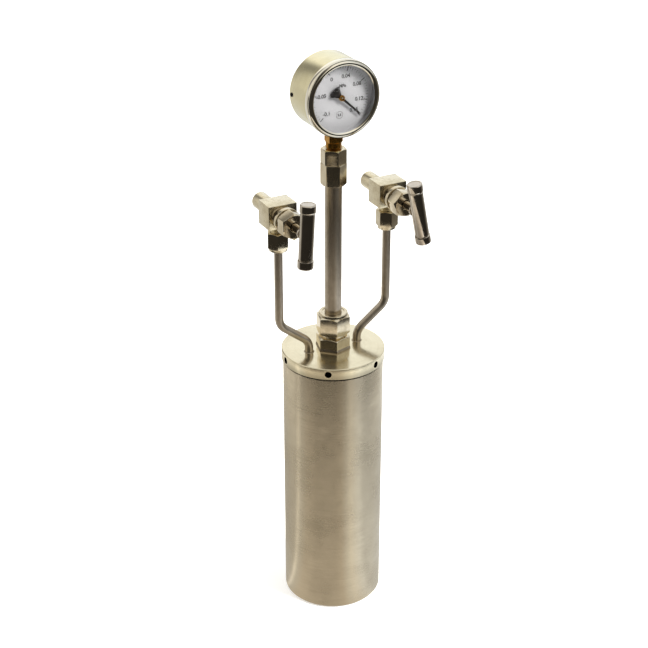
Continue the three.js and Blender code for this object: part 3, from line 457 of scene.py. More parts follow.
class Look:
    """A material's or a world's nodes being made: most calls add one and give back its first output."""

    def __init__(self, name, kind=bpy.data.materials, shader="Principled BSDF"):
        self.made = kind.new(name)
        self.made.use_nodes = True
        self.tree = self.made.node_tree
        self.shader = self.tree.nodes[shader]

    def node(self, kind, inputs=None, **settings):
        made = self.tree.nodes.new("ShaderNode" + kind)
        for key, value in settings.items():
            setattr(made, key, value)
        for key, value in (inputs or {}).items():
            self.feed(made.inputs[key], value)
        return made

    def feed(self, socket, value):
        if isinstance(value, bpy.types.NodeSocket):
            self.tree.links.new(value, socket)
        else:
            socket.default_value = value

    def give(self, **inputs):
        """Feeds the shader's inputs, named with underscores for spaces."""
        for key, value in inputs.items():
            self.feed(self.shader.inputs[key.replace("_", " ")], value)

    def maths(self, operation, *values):
        return self.node("Math", dict(enumerate(values)), operation=operation).outputs[0]

    def place(self):
        return self.node("TexCoord").outputs["Object"]

    def parts(self, vector):
        return self.node("SeparateXYZ", {0: vector}).outputs

    def from_axis(self, parts):
        """The distance from the Z axis."""
        squares = [self.maths("MULTIPLY", part, part) for part in (parts[0], parts[1])]
        return self.maths("SQRT", self.maths("ADD", *squares))

    def noise(self, vector, scale, detail=3.0, rough=0.55):
        inputs = {"Vector": vector, "Scale": scale, "Detail": detail, "Roughness": rough}
        return self.node("TexNoise", inputs).outputs["Fac"]

    def ramp(self, value, low, high, kind="SMOOTHSTEP", start=0.0, end=1.0):
        """Start at the low value and below, end at the high value and above."""
        inputs = {"Value": value, "From Min": low, "From Max": high, "To Min": start, "To Max": end}
        return self.node("MapRange", inputs, interpolation_type=kind).outputs["Result"]

    def mix(self, factor, first, second):
        made = self.node("Mix", {"Factor": factor}, data_type="RGBA")
        for socket, value in zip([s for s in made.inputs if s.type == "RGBA"], (first, second)):
            self.feed(socket, value if isinstance(value, bpy.types.NodeSocket) else (*value, 1))
        return [s for s in made.outputs if s.type == "RGBA"][0]

    def blend(self, *shares):
        """The sum of values, each with its own share."""
        return self.maths("ADD", *(self.maths("MULTIPLY", value, share) for value, share in shares))

    def band(self, heading, stops):
        """A colour by heading in radians, from stops of (degrees, brightness, colour)."""
        made = self.node("ValToRGB", {0: self.ramp(heading, -pi, pi, "LINEAR")})
        elements = made.color_ramp.elements
        elements.remove(elements[-1])
        for i, (degrees, value, colour) in enumerate(stops):
            position = (degrees + 180) / 360
            element = elements[0] if i == 0 else elements.new(position)
            element.position = position
            element.color = (*(value * c for c in colour), 1)
        return made.outputs[0]

    def grain(self, kind):
        """Coordinates stretched along a surface's own marks."""
        if kind == "turned":
            parts = self.parts(self.place())
            scaled = ((self.from_axis(parts), RING_MARKS), (parts[0], SLOW_MARKS), (parts[2], RING_MARKS))
            rings = {i: self.maths("MULTIPLY", *pair) for i, pair in enumerate(scaled)}
            return self.node("CombineXYZ", rings).outputs[0]
        if kind == "swept":
            along = self.node("Attribute", attribute_name="grain").outputs["Vector"]
        else:
            along = self.place()
        stretch = CAST_MARKS if kind == "cast" else LONG_MARKS
        return self.node("VectorMath", {0: along, 1: stretch}, operation="MULTIPLY").outputs[0]


def metal(name, light, dark, roughness, kind, grain=0.5, stain=0.5, bump=0.1, stretch=0.0, spots=0.0,
          stain_scale=55.0, stain_colour=None, shadows=()):
    """A metal with fine marks along its grain, slow stains and, if asked, dark pits. Shadows are regions
    round Z where light hardly gets in: each is a largest radius, a lowest and a highest z, in millimetres."""
    look = Look(name)
    fine = look.noise(look.grain(kind), 1.0, 4.0, 0.6)
    place = look.place()
    blotch = look.ramp(look.noise(place, stain_scale, 5.0, 0.62), 0.36, 0.7)
    tone = look.blend((fine, grain), (blotch, stain))
    colour = look.mix(look.maths("MINIMUM", tone, 1.0), light, dark)
    if stain_colour:
        cloud = look.ramp(look.noise(place, stain_scale * 2.6, 4.0, 0.6), 0.56, 0.72)
        colour = look.mix(look.maths("MULTIPLY", cloud, 0.6), colour, stain_colour)
    if spots:
        pits = look.ramp(look.noise(place, PIT_SCALE, 2.0, 0.5), 0.69, 0.75)
        colour = look.mix(look.maths("MULTIPLY", pits, spots), colour, PIT_COLOUR)
    for radius, low, high in shadows:
        parts = look.parts(place)
        inside = look.maths("LESS_THAN", look.from_axis(parts), radius * MM)
        inside = look.maths("MULTIPLY", inside, look.maths("GREATER_THAN", parts[2], low * MM))
        inside = look.maths("MULTIPLY", inside, look.maths("LESS_THAN", parts[2], high * MM))
        colour = look.mix(inside, colour, SHADOW_COLOUR)
    rough = look.maths("ADD", look.blend((fine, 0.10), (blotch, 0.07)), roughness - 0.08)
    raised = look.node("Bump", {"Height": fine, "Strength": bump, "Distance": METAL_RELIEF})
    look.give(Base_Color=colour, Metallic=1.0, Roughness=rough, Normal=raised.outputs[0])
    if stretch:
        tangent = look.node("Tangent", direction_type="RADIAL", axis="Z")
        look.give(Anisotropic=stretch, Anisotropic_Rotation=0.25, Tangent=tangent.outputs[0])
    FINISHES[name] = look.made


def plain(name, light, dark, roughness, scale=900.0, bump=0.08, specular=0.5):
    """A painted, moulded or rubber surface: fine mottling, slow shading and a slight texture."""
    look = Look(name)
    place = look.place()
    fine = look.noise(place, scale, 4.0, 0.6)
    slow = look.noise(place, 40.0, 3.0, 0.5)
    rough = look.maths("ADD", look.maths("MULTIPLY", fine, 0.12), roughness)
    raised = look.node("Bump", {"Height": fine, "Strength": bump, "Distance": PLAIN_RELIEF})
    look.give(Base_Color=look.mix(look.blend((fine, 0.5), (slow, 0.5)), light, dark), Roughness=rough,
              Normal=raised.outputs[0], Specular_IOR_Level=specular)
    FINISHES[name] = look.made


def glass(name):
    """Clear glass with faint smears."""
    look = Look(name)
    smear = look.ramp(look.noise(look.place(), 90.0, 4.0, 0.6), 0.45, 0.75)
    look.give(Base_Color=look.mix(smear, (0.97, 0.98, 0.98), (0.93, 0.95, 0.95)),
              Roughness=look.maths("MULTIPLY", smear, 0.06), Transmission_Weight=1.0, IOR=1.5, Alpha=0.1)
    FINISHES[name] = look.made


# Where light hardly gets in on the lid: in its spanner holes, and at the flange's underside
LID_SHADOWS = (
    (LID_HIGH.x - 0.6, FLANGE_BOTTOM + 0.2, LID_TOP - 0.7),
    (LID_HIGH.x + 1, FLANGE_BOTTOM - 1.5, FLANGE_BOTTOM + 0.04),
)
metal("vessel_steel", (0.86, 0.765, 0.59), (0.62, 0.54, 0.40), 0.25, "turned",
      grain=0.8, stain=0.35, bump=0.012, stretch=1.0, stain_scale=26.0)
metal("lid_steel", (0.84, 0.77, 0.57), (0.64, 0.56, 0.39), 0.19, "turned",
      grain=0.45, stain=0.4, bump=0.05, stretch=0.3, stain_scale=45.0, shadows=LID_SHADOWS)
metal("fitting_steel", (0.78, 0.70, 0.53), (0.55, 0.47, 0.33), 0.14, "drawn",
      grain=0.35, stain=0.5, bump=0.04, stain_scale=140.0)
metal("weld_steel", (0.50, 0.43, 0.33), (0.30, 0.24, 0.16), 0.30, "cast",
      grain=0.35, stain=0.6, bump=0.06, stain_scale=220.0)
metal("tube_steel", (0.64, 0.57, 0.47), (0.40, 0.34, 0.26), 0.34, "swept",
      grain=0.8, stain=0.35, bump=0.06, stain_scale=90.0)
metal("case_steel", (0.86, 0.81, 0.57), (0.72, 0.65, 0.41), 0.18, "turned",
      grain=0.45, stain=0.35, bump=0.05, stretch=0.7, stain_scale=60.0)
metal("valve_steel", (0.80, 0.73, 0.54), (0.56, 0.48, 0.32), 0.22, "cast",
      grain=0.3, stain=0.5, bump=0.07, spots=0.5, stain_scale=150.0,
      stain_colour=(0.54, 0.43, 0.28))
metal("nut_steel", (0.80, 0.72, 0.55), (0.54, 0.46, 0.32), 0.12, "cast",
      grain=0.3, stain=0.5, bump=0.04, stain_scale=180.0)
metal("polished_steel", (0.66, 0.60, 0.52), (0.42, 0.37, 0.30), 0.10, "turned",
      grain=0.4, stain=0.4, bump=0.02, stain_scale=170.0)
metal("chrome", (0.90, 0.86, 0.74), (0.78, 0.73, 0.58), 0.06, "turned",
      grain=0.3, stain=0.3, bump=0.01, stain_scale=120.0)
metal("brass", (0.66, 0.36, 0.07), (0.27, 0.11, 0.015), 0.22, "drawn",
      grain=0.3, stain=0.75, bump=0.06, stain_scale=260.0)
metal("copper", (0.70, 0.38, 0.22), (0.45, 0.20, 0.10), 0.32, "turned", stain_scale=200.0)
plain("rubber", (0.016, 0.016, 0.016), (0.030, 0.030, 0.028), 0.55, bump=0.2)
plain("ptfe", (0.86, 0.85, 0.82), (0.76, 0.75, 0.71), 0.42)
plain("black_paint", (0.004, 0.004, 0.005), (0.012, 0.011, 0.010), 0.4, bump=0.03, specular=0.12)
plain("dial_white", (0.262, 0.265, 0.278), (0.232, 0.235, 0.248), 0.6, scale=1600.0, specular=0.3)
glass("glass")

# Finishes whose slot is another finish's
SHARED = {"nut_steel": "valve_steel", "weld_steel": "fitting_steel"}


def dress(piece, finish, *nodes, body="head"):
    """Gives a piece its finish and its body, and lets it stand for CAD nodes."""
    piece.data.materials.clear()
    piece.data.materials.append(FINISHES[finish])
    SHARED.get(finish, finish)
    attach(piece, body)
    if nodes:
        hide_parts(*nodes)
    return piece


# ---------- vessel and lid


def lid_thread(radius, low, high, angle):
    return thread_rows(radius, low, high, LID_PITCH, LID_THREAD_SWING, angle)


def make_vessel():
    radius, top = WALL_HIGH.x, WALL_HIGH.z
    thread_low, thread_high = BORE_THREAD

    def wall(angle):
        outside = eased(
            [(BORE_R + 0.9, 0), (radius - 2, 0, 0.5), (radius, 2, 0.8), (radius, top, 0.35),
             (BORE_R + 1.2, top, 0.2), (BORE_R, thread_high + 0.1)],
            ring=False,
        )
        return outside + lid_thread(BORE_R, thread_low, thread_high, angle)[::-1] + [(BORE_R, 0.9)]

    dress(revolve("vessel_wall_turned", upright(), wall, 192), "vessel_steel", "vessel_wall", body="vessel")

    base_r, thick = BASE_HIGH.x, BASE_HIGH.z
    rim = eased([(0, 0), (base_r - 0.9, 0), (base_r, 0.9), (base_r, thick), (0, thick)], 0.2)
    dress(revolve("vessel_base_disc", upright(), rim, 128), "vessel_steel", "vessel_base", body="vessel")

    seam = [(base_r - 0.75 + 1.65 * k / 6, 1.0 - 0.75 * sin(pi * k / 6)) for k in range(7)]
    dress(revolve("base_weld", upright(), seam, 192), "vessel_steel", body="vessel")

    middle = (SEAL_LOW + SEAL_HIGH) / 2
    section_r = (SEAL_HIGH.z - SEAL_LOW.z) / 2
    ring_r = SEAL_HIGH.x - section_r
    turns = [TAU * k / 20 for k in range(20)]
    ring = [(ring_r + section_r * cos(a), middle.z + section_r * sin(a)) for a in turns]
    dress(revolve("lid_seal_ring", upright(), ring, 160), "rubber", "lid_seal", body="seal")


def lid_outline(angle):
    radius, bottom, neck_r = LID_HIGH.x, LID_LOW.z, SPIGOT_R - SPIGOT_NECK
    thread_low = bottom + 1.1
    threads = lid_thread(SPIGOT_R, thread_low, SPIGOT_THREAD_TOP, angle)
    lower = eased([(0, bottom), (SPIGOT_R - 1, bottom), (SPIGOT_R, thread_low - 0.05), threads[0]], 0.1)
    upper = eased(
        [threads[-1], (neck_r, SPIGOT_THREAD_TOP + 0.8), (neck_r, FLANGE_BOTTOM),
         (radius, FLANGE_BOTTOM, 0.3), (radius, LID_TOP - 0.5, 0.2), (radius - 0.5, LID_TOP, 0.25),
         (0, LID_TOP)],
        0.2, ring=False,
    )
    return lower + threads[1:-1] + upper


def make_lid():
    radius, above = LID_HIGH.x, LID_TOP + 1
    groove_r = SEAL_HIGH.x - 1.1
    groove = hollow(groove_r - SEAL_GROOVE_HALF, groove_r + SEAL_GROOVE_HALF, FLANGE_BOTTOM - 1,
                    SEAL_HIGH.z + 0.05, 0.0)
    cutters = [revolve("groove", upright(), groove, 160),
               drill(upright(), PASSAGE_R, LID_LOW.z - 3, above)]
    for side in SIDES.values():
        place = upright(side["x"] * SIDE_TUBE_LID_X)
        cutters.append(drill(place, SIDE_TUBE_R + FIT, FLANGE_BOTTOM, above))
    for i in range(SPANNER_HOLES):
        turn = radians(SPANNER_HOLE_ANGLE + i * 360 / SPANNER_HOLES)
        across = Matrix.Rotation(turn, 4, "Z") @ TIPPED
        height = upright(z=(FLANGE_BOTTOM + LID_TOP) / 2)
        cutters.append(drill(height @ across, SPANNER_HOLE_R, radius - SPANNER_HOLE_DEPTH, radius + 1))
    lid = revolve("lid_turned", upright(), lid_outline, 192)
    dress(cut(lid, *cutters), "lid_steel", "lid")
    for name, side in SIDES.items():
        place = upright(side["x"] * SIDE_TUBE_LID_X, LID_TOP - 0.1)
        weld = bead(f"{name}_tube_weld", place, SIDE_TUBE_R, 0.9, 0.55, 22, name)
        dress(weld, "weld_steel")


# ---------- riser


def make_riser():
    low, high = span("riser_fitting")
    bore = RISER_R + FIT
    stud_r = RISER_R + 2.9
    hexagon = nut_section(HEX_22, PASSAGE_R, low.z, RISER_HEX_TOP, False, True)
    body = bar("riser_fitting_hex", upright(), HEX_22, hexagon, RISER_TURN)

    def stud(angle):
        rows = thread_rows(stud_r - 0.35, RISER_HEX_TOP - 0.2, high.z - 0.8, 1.5, 0.35, angle)
        foot = RISER_HEX_TOP - 0.5
        return [(bore, foot), (stud_r - 1, foot), *rows, (stud_r - 1.2, high.z), (bore, high.z)]

    threads = revolve("riser_fitting_stud", upright(), stud, 96)
    dress(joined("riser_fitting_body", upright(), body, threads), "fitting_steel", "riser_fitting")

    def weld(radius):
        rise = [(radius + out, low.z + up) for out, up in WELD_RISE]
        return [(radius - 1, low.z), *rise, (radius - 1, rise[-1][1])]

    weld_bar = bar("riser_weld", upright(), HEX_22, weld, RISER_TURN, corner=WELD_BAR_CORNER)
    dress(weld_bar, "weld_steel")

    low, high = span("riser_nut")
    collar_low = high.z - NUT_COLLAR

    def nut(radius):
        face = HEX_22 * CHAMFER_FACE
        drop = (radius - face) * tan(HALF_HEX)
        corners = [(bore, low.z), (face, low.z), (radius, low.z + drop), (radius, collar_low - drop),
                   (NUT_COLLAR_R, collar_low), (NUT_COLLAR_R, high.z, 1.3), (bore + 1.9, high.z, 0.3),
                   (bore + 1.7, high.z - 0.6, 0.1), (bore, high.z - 0.6)]
        return eased(corners, 0.12, 5)

    dress(bar("riser_nut_hex", upright(), HEX_22, nut, RISER_TURN), "fitting_steel", "riser_nut")

    low, high = span("riser_tube")
    wall = hollow(RISER_R - RISER_WALL, RISER_R, low.z, high.z)
    tube = revolve("riser_tube_drawn", upright(), wall, 96)
    with_grain(tube, [v.co for v in tube.data.vertices])
    dress(tube, "tube_steel", "riser_tube")

    low, high = span("riser_coupling")
    coupling = nut_section(HEX_16, bore, low.z, high.z, True, False)
    dress(bar("riser_coupling_hex", upright(), HEX_16, coupling), "fitting_steel", "riser_coupling")

    hex_low = high.z + 0.05
    low, high = span("gauge_adapter")
    mouth = [(6.3, high.z), (5.15, high.z - 1.1)]
    adapter = nut_section(HEX_16, 5.15, hex_low, high.z, False, True, upper=mouth)
    shell = bar("adapter_hex", upright(), HEX_16, adapter, ADAPTER_TURN)
    stud = revolve("adapter_stud", upright(), hollow(PASSAGE_R, RISER_R, low.z, hex_low + 1.5), 64)
    dress(joined("gauge_adapter_body", upright(), shell, stud), "fitting_steel", "gauge_adapter")


def with_grain(piece, values):
    """Stores coordinates that run along the piece, in metres, for its material."""
    grain = piece.data.attributes.new("grain", "FLOAT_VECTOR", "POINT")
    grain.data.foreach_set("vector", [c for value in values for c in value])


# ---------- gauge


def make_case():
    back, front = depths("gauge_case")
    inner = CASE_R - CASE_WALL
    shell = eased(
        [(inner - 1.2, back), (CASE_R, back, 1.1), (CASE_R, front, 0.3), (inner, front, 0.2),
         (inner, back + CASE_WALL, 0.5), (inner - 1.2, back + CASE_WALL)],
        0.2, 5,
    )
    screw_z = depths("case_screw_right")[0] + 1.5
    case = revolve("gauge_case_shell", GAUGE, shell, 160)
    holes = [drill(UNDER_GAUGE, SOCKET_CORNER_R + RUN, 10, CASE_R + 2)]
    for side in (-1, 1):
        sideways = on_gauge(0, 0, screw_z) @ Matrix.Rotation(side * pi / 2, 4, "Y")
        holes.append(drill(sideways, CASE_SCREW_HOLE_R, CASE_R - 4, CASE_R + 4, 24))
        head = eased(
            [(0, CASE_R - 2.6), (0.9, CASE_R - 2.6), (0.9, CASE_R + 0.05), (1.5, CASE_R + 0.05),
             (1.5, CASE_R + 0.35, 0.1), (0.9, CASE_R + 0.8, 0.5), (0, CASE_R + 0.9)],
            0.05, 4,
        )
        name = "right" if side > 0 else "left"
        screw = revolve(f"case_screw_{name}_head", sideways, head, 40)
        slot = block("slot", sideways, (-0.22, -2, CASE_R + 0.5), (0.22, 2, CASE_R + 2), 0.02)
        dress(cut(screw, slot), "black_paint", f"case_screw_{name}")
    dress(cut(case, *holes), "case_steel", "gauge_case")

    low, high = depths("gauge_back")
    pan_r = inner - FIT
    pan = eased(
        [(0, low + 0.5), (14, low + 0.5), (15.2, low), (pan_r, low, 0.9), (pan_r, high), (pan_r - 0.8, high),
         (pan_r - 0.8, low + 0.8, 0.6), (15.0, low + 0.8), (13.8, low + 1.3), (0, low + 1.3)],
        0.4, 4,
    )
    way = drill(UNDER_GAUGE, SOCKET_CORNER_R + RUN, 10, CASE_R + 2)
    dress(cut(revolve("gauge_back_pan", GAUGE, pan, 128), way), "case_steel", "gauge_back")

    low, high = depths("bezel")
    turns = [radians(a) for a in range(0, 130, 8)]
    side, front = BEZEL_R - BEZEL_ROLL, high - BEZEL_ROLL
    rolled = [(side + BEZEL_ROLL * cos(a), front + BEZEL_ROLL * sin(a)) for a in turns]
    ring = [(CASE_R + FIT, low), (BEZEL_R - 0.15, low), (BEZEL_R, low + 0.3), *rolled,
            (BEZEL_R - 2.9, high - 0.75), (CASE_R - 1.4, high - 0.75), (CASE_R - 1.2, high - 0.6),
            (CASE_R + FIT, high - 0.6)]
    dress(revolve("bezel_ring", GAUGE, ring, 192), "chrome", "bezel")


def make_face():
    low, high = span("gauge_window")
    pane = eased([(0, -high.y), (high.x, -high.y), (high.x, -low.y), (0, -low.y)], 0.15)
    dress(revolve("gauge_window_pane", GAUGE, pane, 128), "glass", "gauge_window")

    low, high = span("window_spacer")
    ring = hollow(high.x - 1, high.x, -high.y, -low.y, 0.15)
    dress(revolve("window_spacer_ring", GAUGE, ring, 128), "dial_white", "window_spacer")

    low, high = span("dial")
    disc = hollow(0.9, high.x, -high.y, DIAL_FRONT, 0.1)
    dress(revolve("dial_disc", GAUGE, disc, 128), "dial_white", "dial")


def dial_angle(value):
    """Degrees clockwise from the top."""
    return -DIAL_SWEEP / 2 + DIAL_SWEEP * (value - DIAL_LOW) / (DIAL_HIGH - DIAL_LOW)


def on_gauge(x, y, z=0.0):
    """The gauge's frame, moved."""
    return GAUGE @ Matrix.Translation(Vector((x, y, z)) * MM)


def on_dial(degrees, radius):
    return radius * sin(radians(degrees)), radius * cos(radians(degrees))


def lettering(text, size, x, y):
    """Printed characters that stand a hair above the dial."""
    curve = bpy.data.curves.new("lettering", "FONT")
    curve.body = text
    curve.size = size * MM
    curve.align_x = "CENTER"
    curve.align_y = "CENTER"
    curve.extrude = PRINT_HEIGHT / 2 * MM
    curve.offset = 0.13 * MM
    curve.resolution_u = 3
    draft = link("lettering", curve, Matrix())
    bpy.context.view_layer.update()
    graph = bpy.context.evaluated_depsgraph_get()
    mesh = bpy.data.meshes.new_from_object(draft.evaluated_get(graph))
    bpy.data.objects.remove(draft)
    return link("lettering", mesh, on_gauge(x, y, DIAL_FRONT + PRINT_HEIGHT / 2))


def tick(degrees, length, width):
    x, y = on_dial(degrees, TICK_OUTER - length / 2)
    place = on_gauge(x, y) @ Matrix.Rotation(-radians(degrees), 4, "Z")
    low = (-width / 2, -length / 2, DIAL_FRONT - PRINT_LIFT)
    high = (width / 2, length / 2, DIAL_FRONT + PRINT_HEIGHT)
    return block("tick", place, low, high, 0.01)


def make_print():
    marks = []
    for i in range(DIAL_STEPS + 1):
        degrees = DIAL_SWEEP * (i / DIAL_STEPS - 0.5)
        marks.append(tick(degrees, 2.0 if i % 2 == 0 else 1.3, 0.26))
    for value in NUMERALS:
        marks.append(tick(dial_angle(value), 3.2, 0.6))
    dress(joined("dial_scale", GAUGE, *marks), "black_paint")
    letters = []
    for value in NUMERALS:
        x, y = on_dial(dial_angle(value), NUMERAL_R)
        letters.append(lettering(f"{value:g}", 3.7, x, y))
    letters.append(lettering("MPa", 3.0, 1.6, 7.6))
    letters.append(lettering("2.5", 2.3, *CLASS_MARK))
    low, high = DIAL_FRONT - PRINT_LIFT, DIAL_FRONT + PRINT_HEIGHT
    ring = eased([(2.35, low), (2.6, low), (2.6, high), (2.35, high)], 0.01, 1)
    letters.append(revolve("class_ring", on_gauge(*CLASS_MARK), ring, 48))
    dress(joined("dial_lettering", GAUGE, *letters), "black_paint")


def plate(name, place, outline, low, high, ease=0.08):
    """A flat plate with eased edges, cut from an outline of (x, y) points."""
    mesh = bpy.data.meshes.new(name)
    work = bmesh.new()
    face = work.faces.new([work.verts.new((x * MM, y * MM, low * MM)) for x, y in outline])
    grown = bmesh.ops.extrude_face_region(work, geom=[face])
    raised = [part for part in grown["geom"] if isinstance(part, bmesh.types.BMVert)]
    bmesh.ops.translate(work, verts=raised, vec=Vector((0, 0, (high - low) * MM)))
    bmesh.ops.recalc_face_normals(work, faces=work.faces)
    edges = [e for e in work.edges if e.calc_face_angle(0) > 0.6]
    bmesh.ops.bevel(work, geom=edges, offset=ease * MM, segments=2, profile=0.5, affect="EDGES")
    return finished(name, mesh, work, place)


def make_pointer():
    place = GAUGE @ Matrix.Rotation(-radians(POINTER_ANGLE), 4, "Z")
    taper = POINTER_LENGTH - 1.8
    needle = [(-0.9, 0), (-0.6, taper), (0, POINTER_LENGTH), (0.6, taper), (0.9, 0), (1.3, -1.4)]
    turns = [radians(a) for a in range(-57, -124, -6)]
    fan = [(POINTER_BACK * cos(a), POINTER_BACK * sin(a)) for a in turns]
    blade = plate("pointer_blade", place, [*needle, *fan, (-1.3, -1.4)], *depths("pointer"))
    dress(blade, "black_paint", "pointer", body="pointer")
    low, high = depths("pointer_boss")
    boss = eased([(0.75, low), (2.1, low), (2.1, high, 0.35), (1.0, high, 0.1), (0.75, high - 0.2)], 0.08)
    dress(revolve("pointer_hub", GAUGE, boss, 48), "brass", "pointer_boss", body="pointer")


def make_socket():
    bottom, square_end = GAUGE_Z - span("gauge_socket")[0].z, GAUGE_Z - SOCKET_SQUARE_END

    def section(radius):
        own = min(radius, SOCKET_CORNER_R)
        chamfer = max(own - 4.9, 0.2)
        return eased([(1.2, SOCKET_FOOT_TOP), (own, SOCKET_FOOT_TOP), (own, square_end - chamfer * 0.8),
                      (own - chamfer, square_end), (1.2, square_end)], 0.15)

    square = bar("socket_square", UNDER_GAUGE, SOCKET_FLATS / 2, section, 45.0, 4, 0.3)

    def stem(angle):
        rows = thread_rows(4.75, square_end + 4.3, bottom - 0.5, 1.5, 0.25, angle)
        return [(1.2, square_end - 0.5), (5.5, square_end - 0.5), (5.5, square_end + 3.3),
                (4.9, square_end + 3.9), *rows, (4.3, bottom), (1.2, bottom)]

    neck = revolve("socket_stem", UNDER_GAUGE, stem, 64)
    foot = block("socket_foot", GAUGE, (-5.2, -22.7, -2.4), (5.2, 0.2 - SOCKET_FOOT_TOP, 5.2))
    post = block("socket_post", GAUGE, (-7.5, -22.7, -11.3), (7.5, -13.2, -2.5))
    socket = joined("gauge_socket_body", UNDER_GAUGE, square, neck, foot, post)
    dress(socket, "brass", "gauge_socket")


# ---------- valves


def make_valve(name, side):
    place = facing(side["x"] * VALVE_X, VALVE_Z)
    make_valve_block(name, side, place)
    make_bonnet(name, side, place)
    make_stem(name, place)
    make_handle(name, side, place)
    make_tube_nut(name, side)
    make_side_tube(name, side)


def make_valve_block(name, side, place):
    low, high = span(f"{name}_valve_block")
    body = block("valve_body", place, (-VALVE_HALF_X, VALVE_BOTTOM - VALVE_Z, -VALVE_HALF_Y),
                 (VALVE_HALF_X, high.z - VALVE_Z, VALVE_HALF_Y), 0.4)
    body = cut(body, drill(place, 2.8, 0, VALVE_HALF_Y + 2), drill(place, 1.6, -VALVE_HALF_Y - 2, 2))
    length = VALVE_BOTTOM - low.z

    def stud(angle):
        rows = thread_rows(5.35, 0.3, length - 0.6, VALVE_PITCH, 0.28, angle)
        return [(2.0, -1.0), (5.2, -1.0), *rows, (4.6, length), (2.0, length)]

    downward = upright(side["x"] * VALVE_X, VALVE_BOTTOM) @ Matrix.Rotation(pi, 4, "X")
    neck = revolve("valve_stud", downward, stud, 72)
    dress(joined(f"{name}_valve_body", place, body, neck), "valve_steel", f"{name}_valve_block")

    low, high = span(f"{name}_outlet_stub")
    end, start = depths(f"{name}_outlet_stub")
    stub_r = (high.x - low.x) / 2
    stub = eased(
        [(2.5, end), (3.2, end), (stub_r - 1, end), (stub_r, end + 1), (stub_r, start - 2.6),
         (stub_r - 0.6, start - 2.5), (stub_r - 0.6, start - 1.8), (stub_r, start - 1.7), (stub_r, start),
         (2.5, start)],
        0.12,
    )
    dress(revolve(f"{name}_outlet_pipe", place, stub, 96), "valve_steel", f"{name}_outlet_stub")


def make_bonnet(name, side, place):
    """The bonnet with the lock ring and the gland nut on its thread."""
    start, end = depths(f"{name}_bonnet")

    def bonnet(angle):
        rows = thread_rows(BONNET_R - 0.25, start + 1.5, end - 0.6, VALVE_PITCH, 0.25, angle)
        return [(3.3, start), (BONNET_R - 0.2, start), *rows, (BONNET_R - 0.7, end), (5.3, end),
                (5.3, end - 4), (3.3, end - 4)]

    dress(revolve(f"{name}_bonnet_thread", place, bonnet, 96), "polished_steel", f"{name}_bonnet")

    bore = BONNET_R + FIT
    start, end = depths(f"{name}_lock_ring")
    ring = eased([(bore, start), (LOCK_RING_R, start, 0.4), (LOCK_RING_R, end, 0.4), (bore, end)], 0.15, 5)
    dress(revolve(f"{name}_lock_ring_turned", place, ring, 96), "fitting_steel", f"{name}_lock_ring")

    start, end = depths(f"{name}_gland_nut")
    floor = end - GLAND_FLOOR

    def gland(radius):
        face = GLAND_FLAT * CHAMFER_FACE
        drop = (radius - face) * tan(HALF_HEX)
        corners = [(bore, floor), (bore, start), (face, start), (radius, start + drop), (radius, end - drop),
                   (face, end), (3.7, end), (3.3, end - 0.35), (3.3, floor)]
        return eased(corners, 0.15)

    hexagon = bar(f"{name}_gland_hex", place, GLAND_FLAT, gland, side["gland"] + 180)
    dress(hexagon, "nut_steel", f"{name}_gland_nut")


def handle_height(name):
    """The depth of a handle's middle, measured to the back."""
    low, high = span(f"{name}_handle")
    return (low.y + high.y) / 2


def stem_collar(name):
    return -handle_height(name) - 5.05


def make_stem(name, place):
    start, end = depths(f"{name}_stem")
    collar = stem_collar(name)
    stem = eased(
        [(0, start), (2.4, start), (2.4, start + 1.7), (3.0, start + 2.0), (3.0, collar - 2),
         (4.2, collar - 2, 0.5), (4.2, collar, 0.3), (2.5, collar), (2.5, end), (0, end)],
        0.15, 4,
    )
    dress(revolve(f"{name}_stem_turned", place, stem, 64), "polished_steel",
          f"{name}_stem", body=f"{name}_handle")


def make_handle(name, side, place):
    half = HANDLE_LENGTH / 2
    neck, groove_r, end_r = half - HANDLE_COLLAR, HANDLE_R - 0.25, HANDLE_END_R
    upper = [(HANDLE_R, neck - 0.9, 0.05), (groove_r, neck - 0.7, 0.05), (groove_r, neck - 0.2, 0.05),
             (end_r - 0.1, neck, 0.15), (end_r, neck + 0.7, 0.2), (end_r, half - 0.7, 0.3),
             (end_r - 0.55, half, 0.35), (end_r - 1.5, half, 0.1), (end_r - 1.7, half - 0.25, 0.1),
             (0, half - 0.25)]
    lower = [(r, -z, *more) for r, z, *more in upper][::-1]
    turn = Matrix.Rotation(radians(side["handle"]), 4, "Z")
    out = Matrix.Translation(Vector((0, 0, -handle_height(name))) * MM)
    along = place @ turn @ out @ Matrix.Rotation(-pi / 2, 4, "X")
    handle = revolve(f"{name}_handle_bar", along, eased(lower + upper, 0.2, 4), 96)
    socket = drill(place, 2.65, stem_collar(name), depths(f"{name}_stem")[1], 48)
    dress(cut(handle, socket), "polished_steel", f"{name}_handle", body=f"{name}_handle")


def make_tube_nut(name, side):
    low, high = span(f"{name}_tube_nut")
    boss = low.z + 2.2
    bore = SIDE_TUBE_R + FIT
    foot = [(bore + 0.5, low.z), (6.1, low.z), (6.5, low.z + 0.4), (6.5, boss)]
    nut = nut_section(TUBE_NUT_FLAT, bore, boss, high.z, lower=foot)
    hexagon = bar(f"{name}_tube_nut_hex", upright(side["x"] * VALVE_X), TUBE_NUT_FLAT, nut, side["nut"])
    dress(hexagon, "nut_steel", f"{name}_tube_nut")


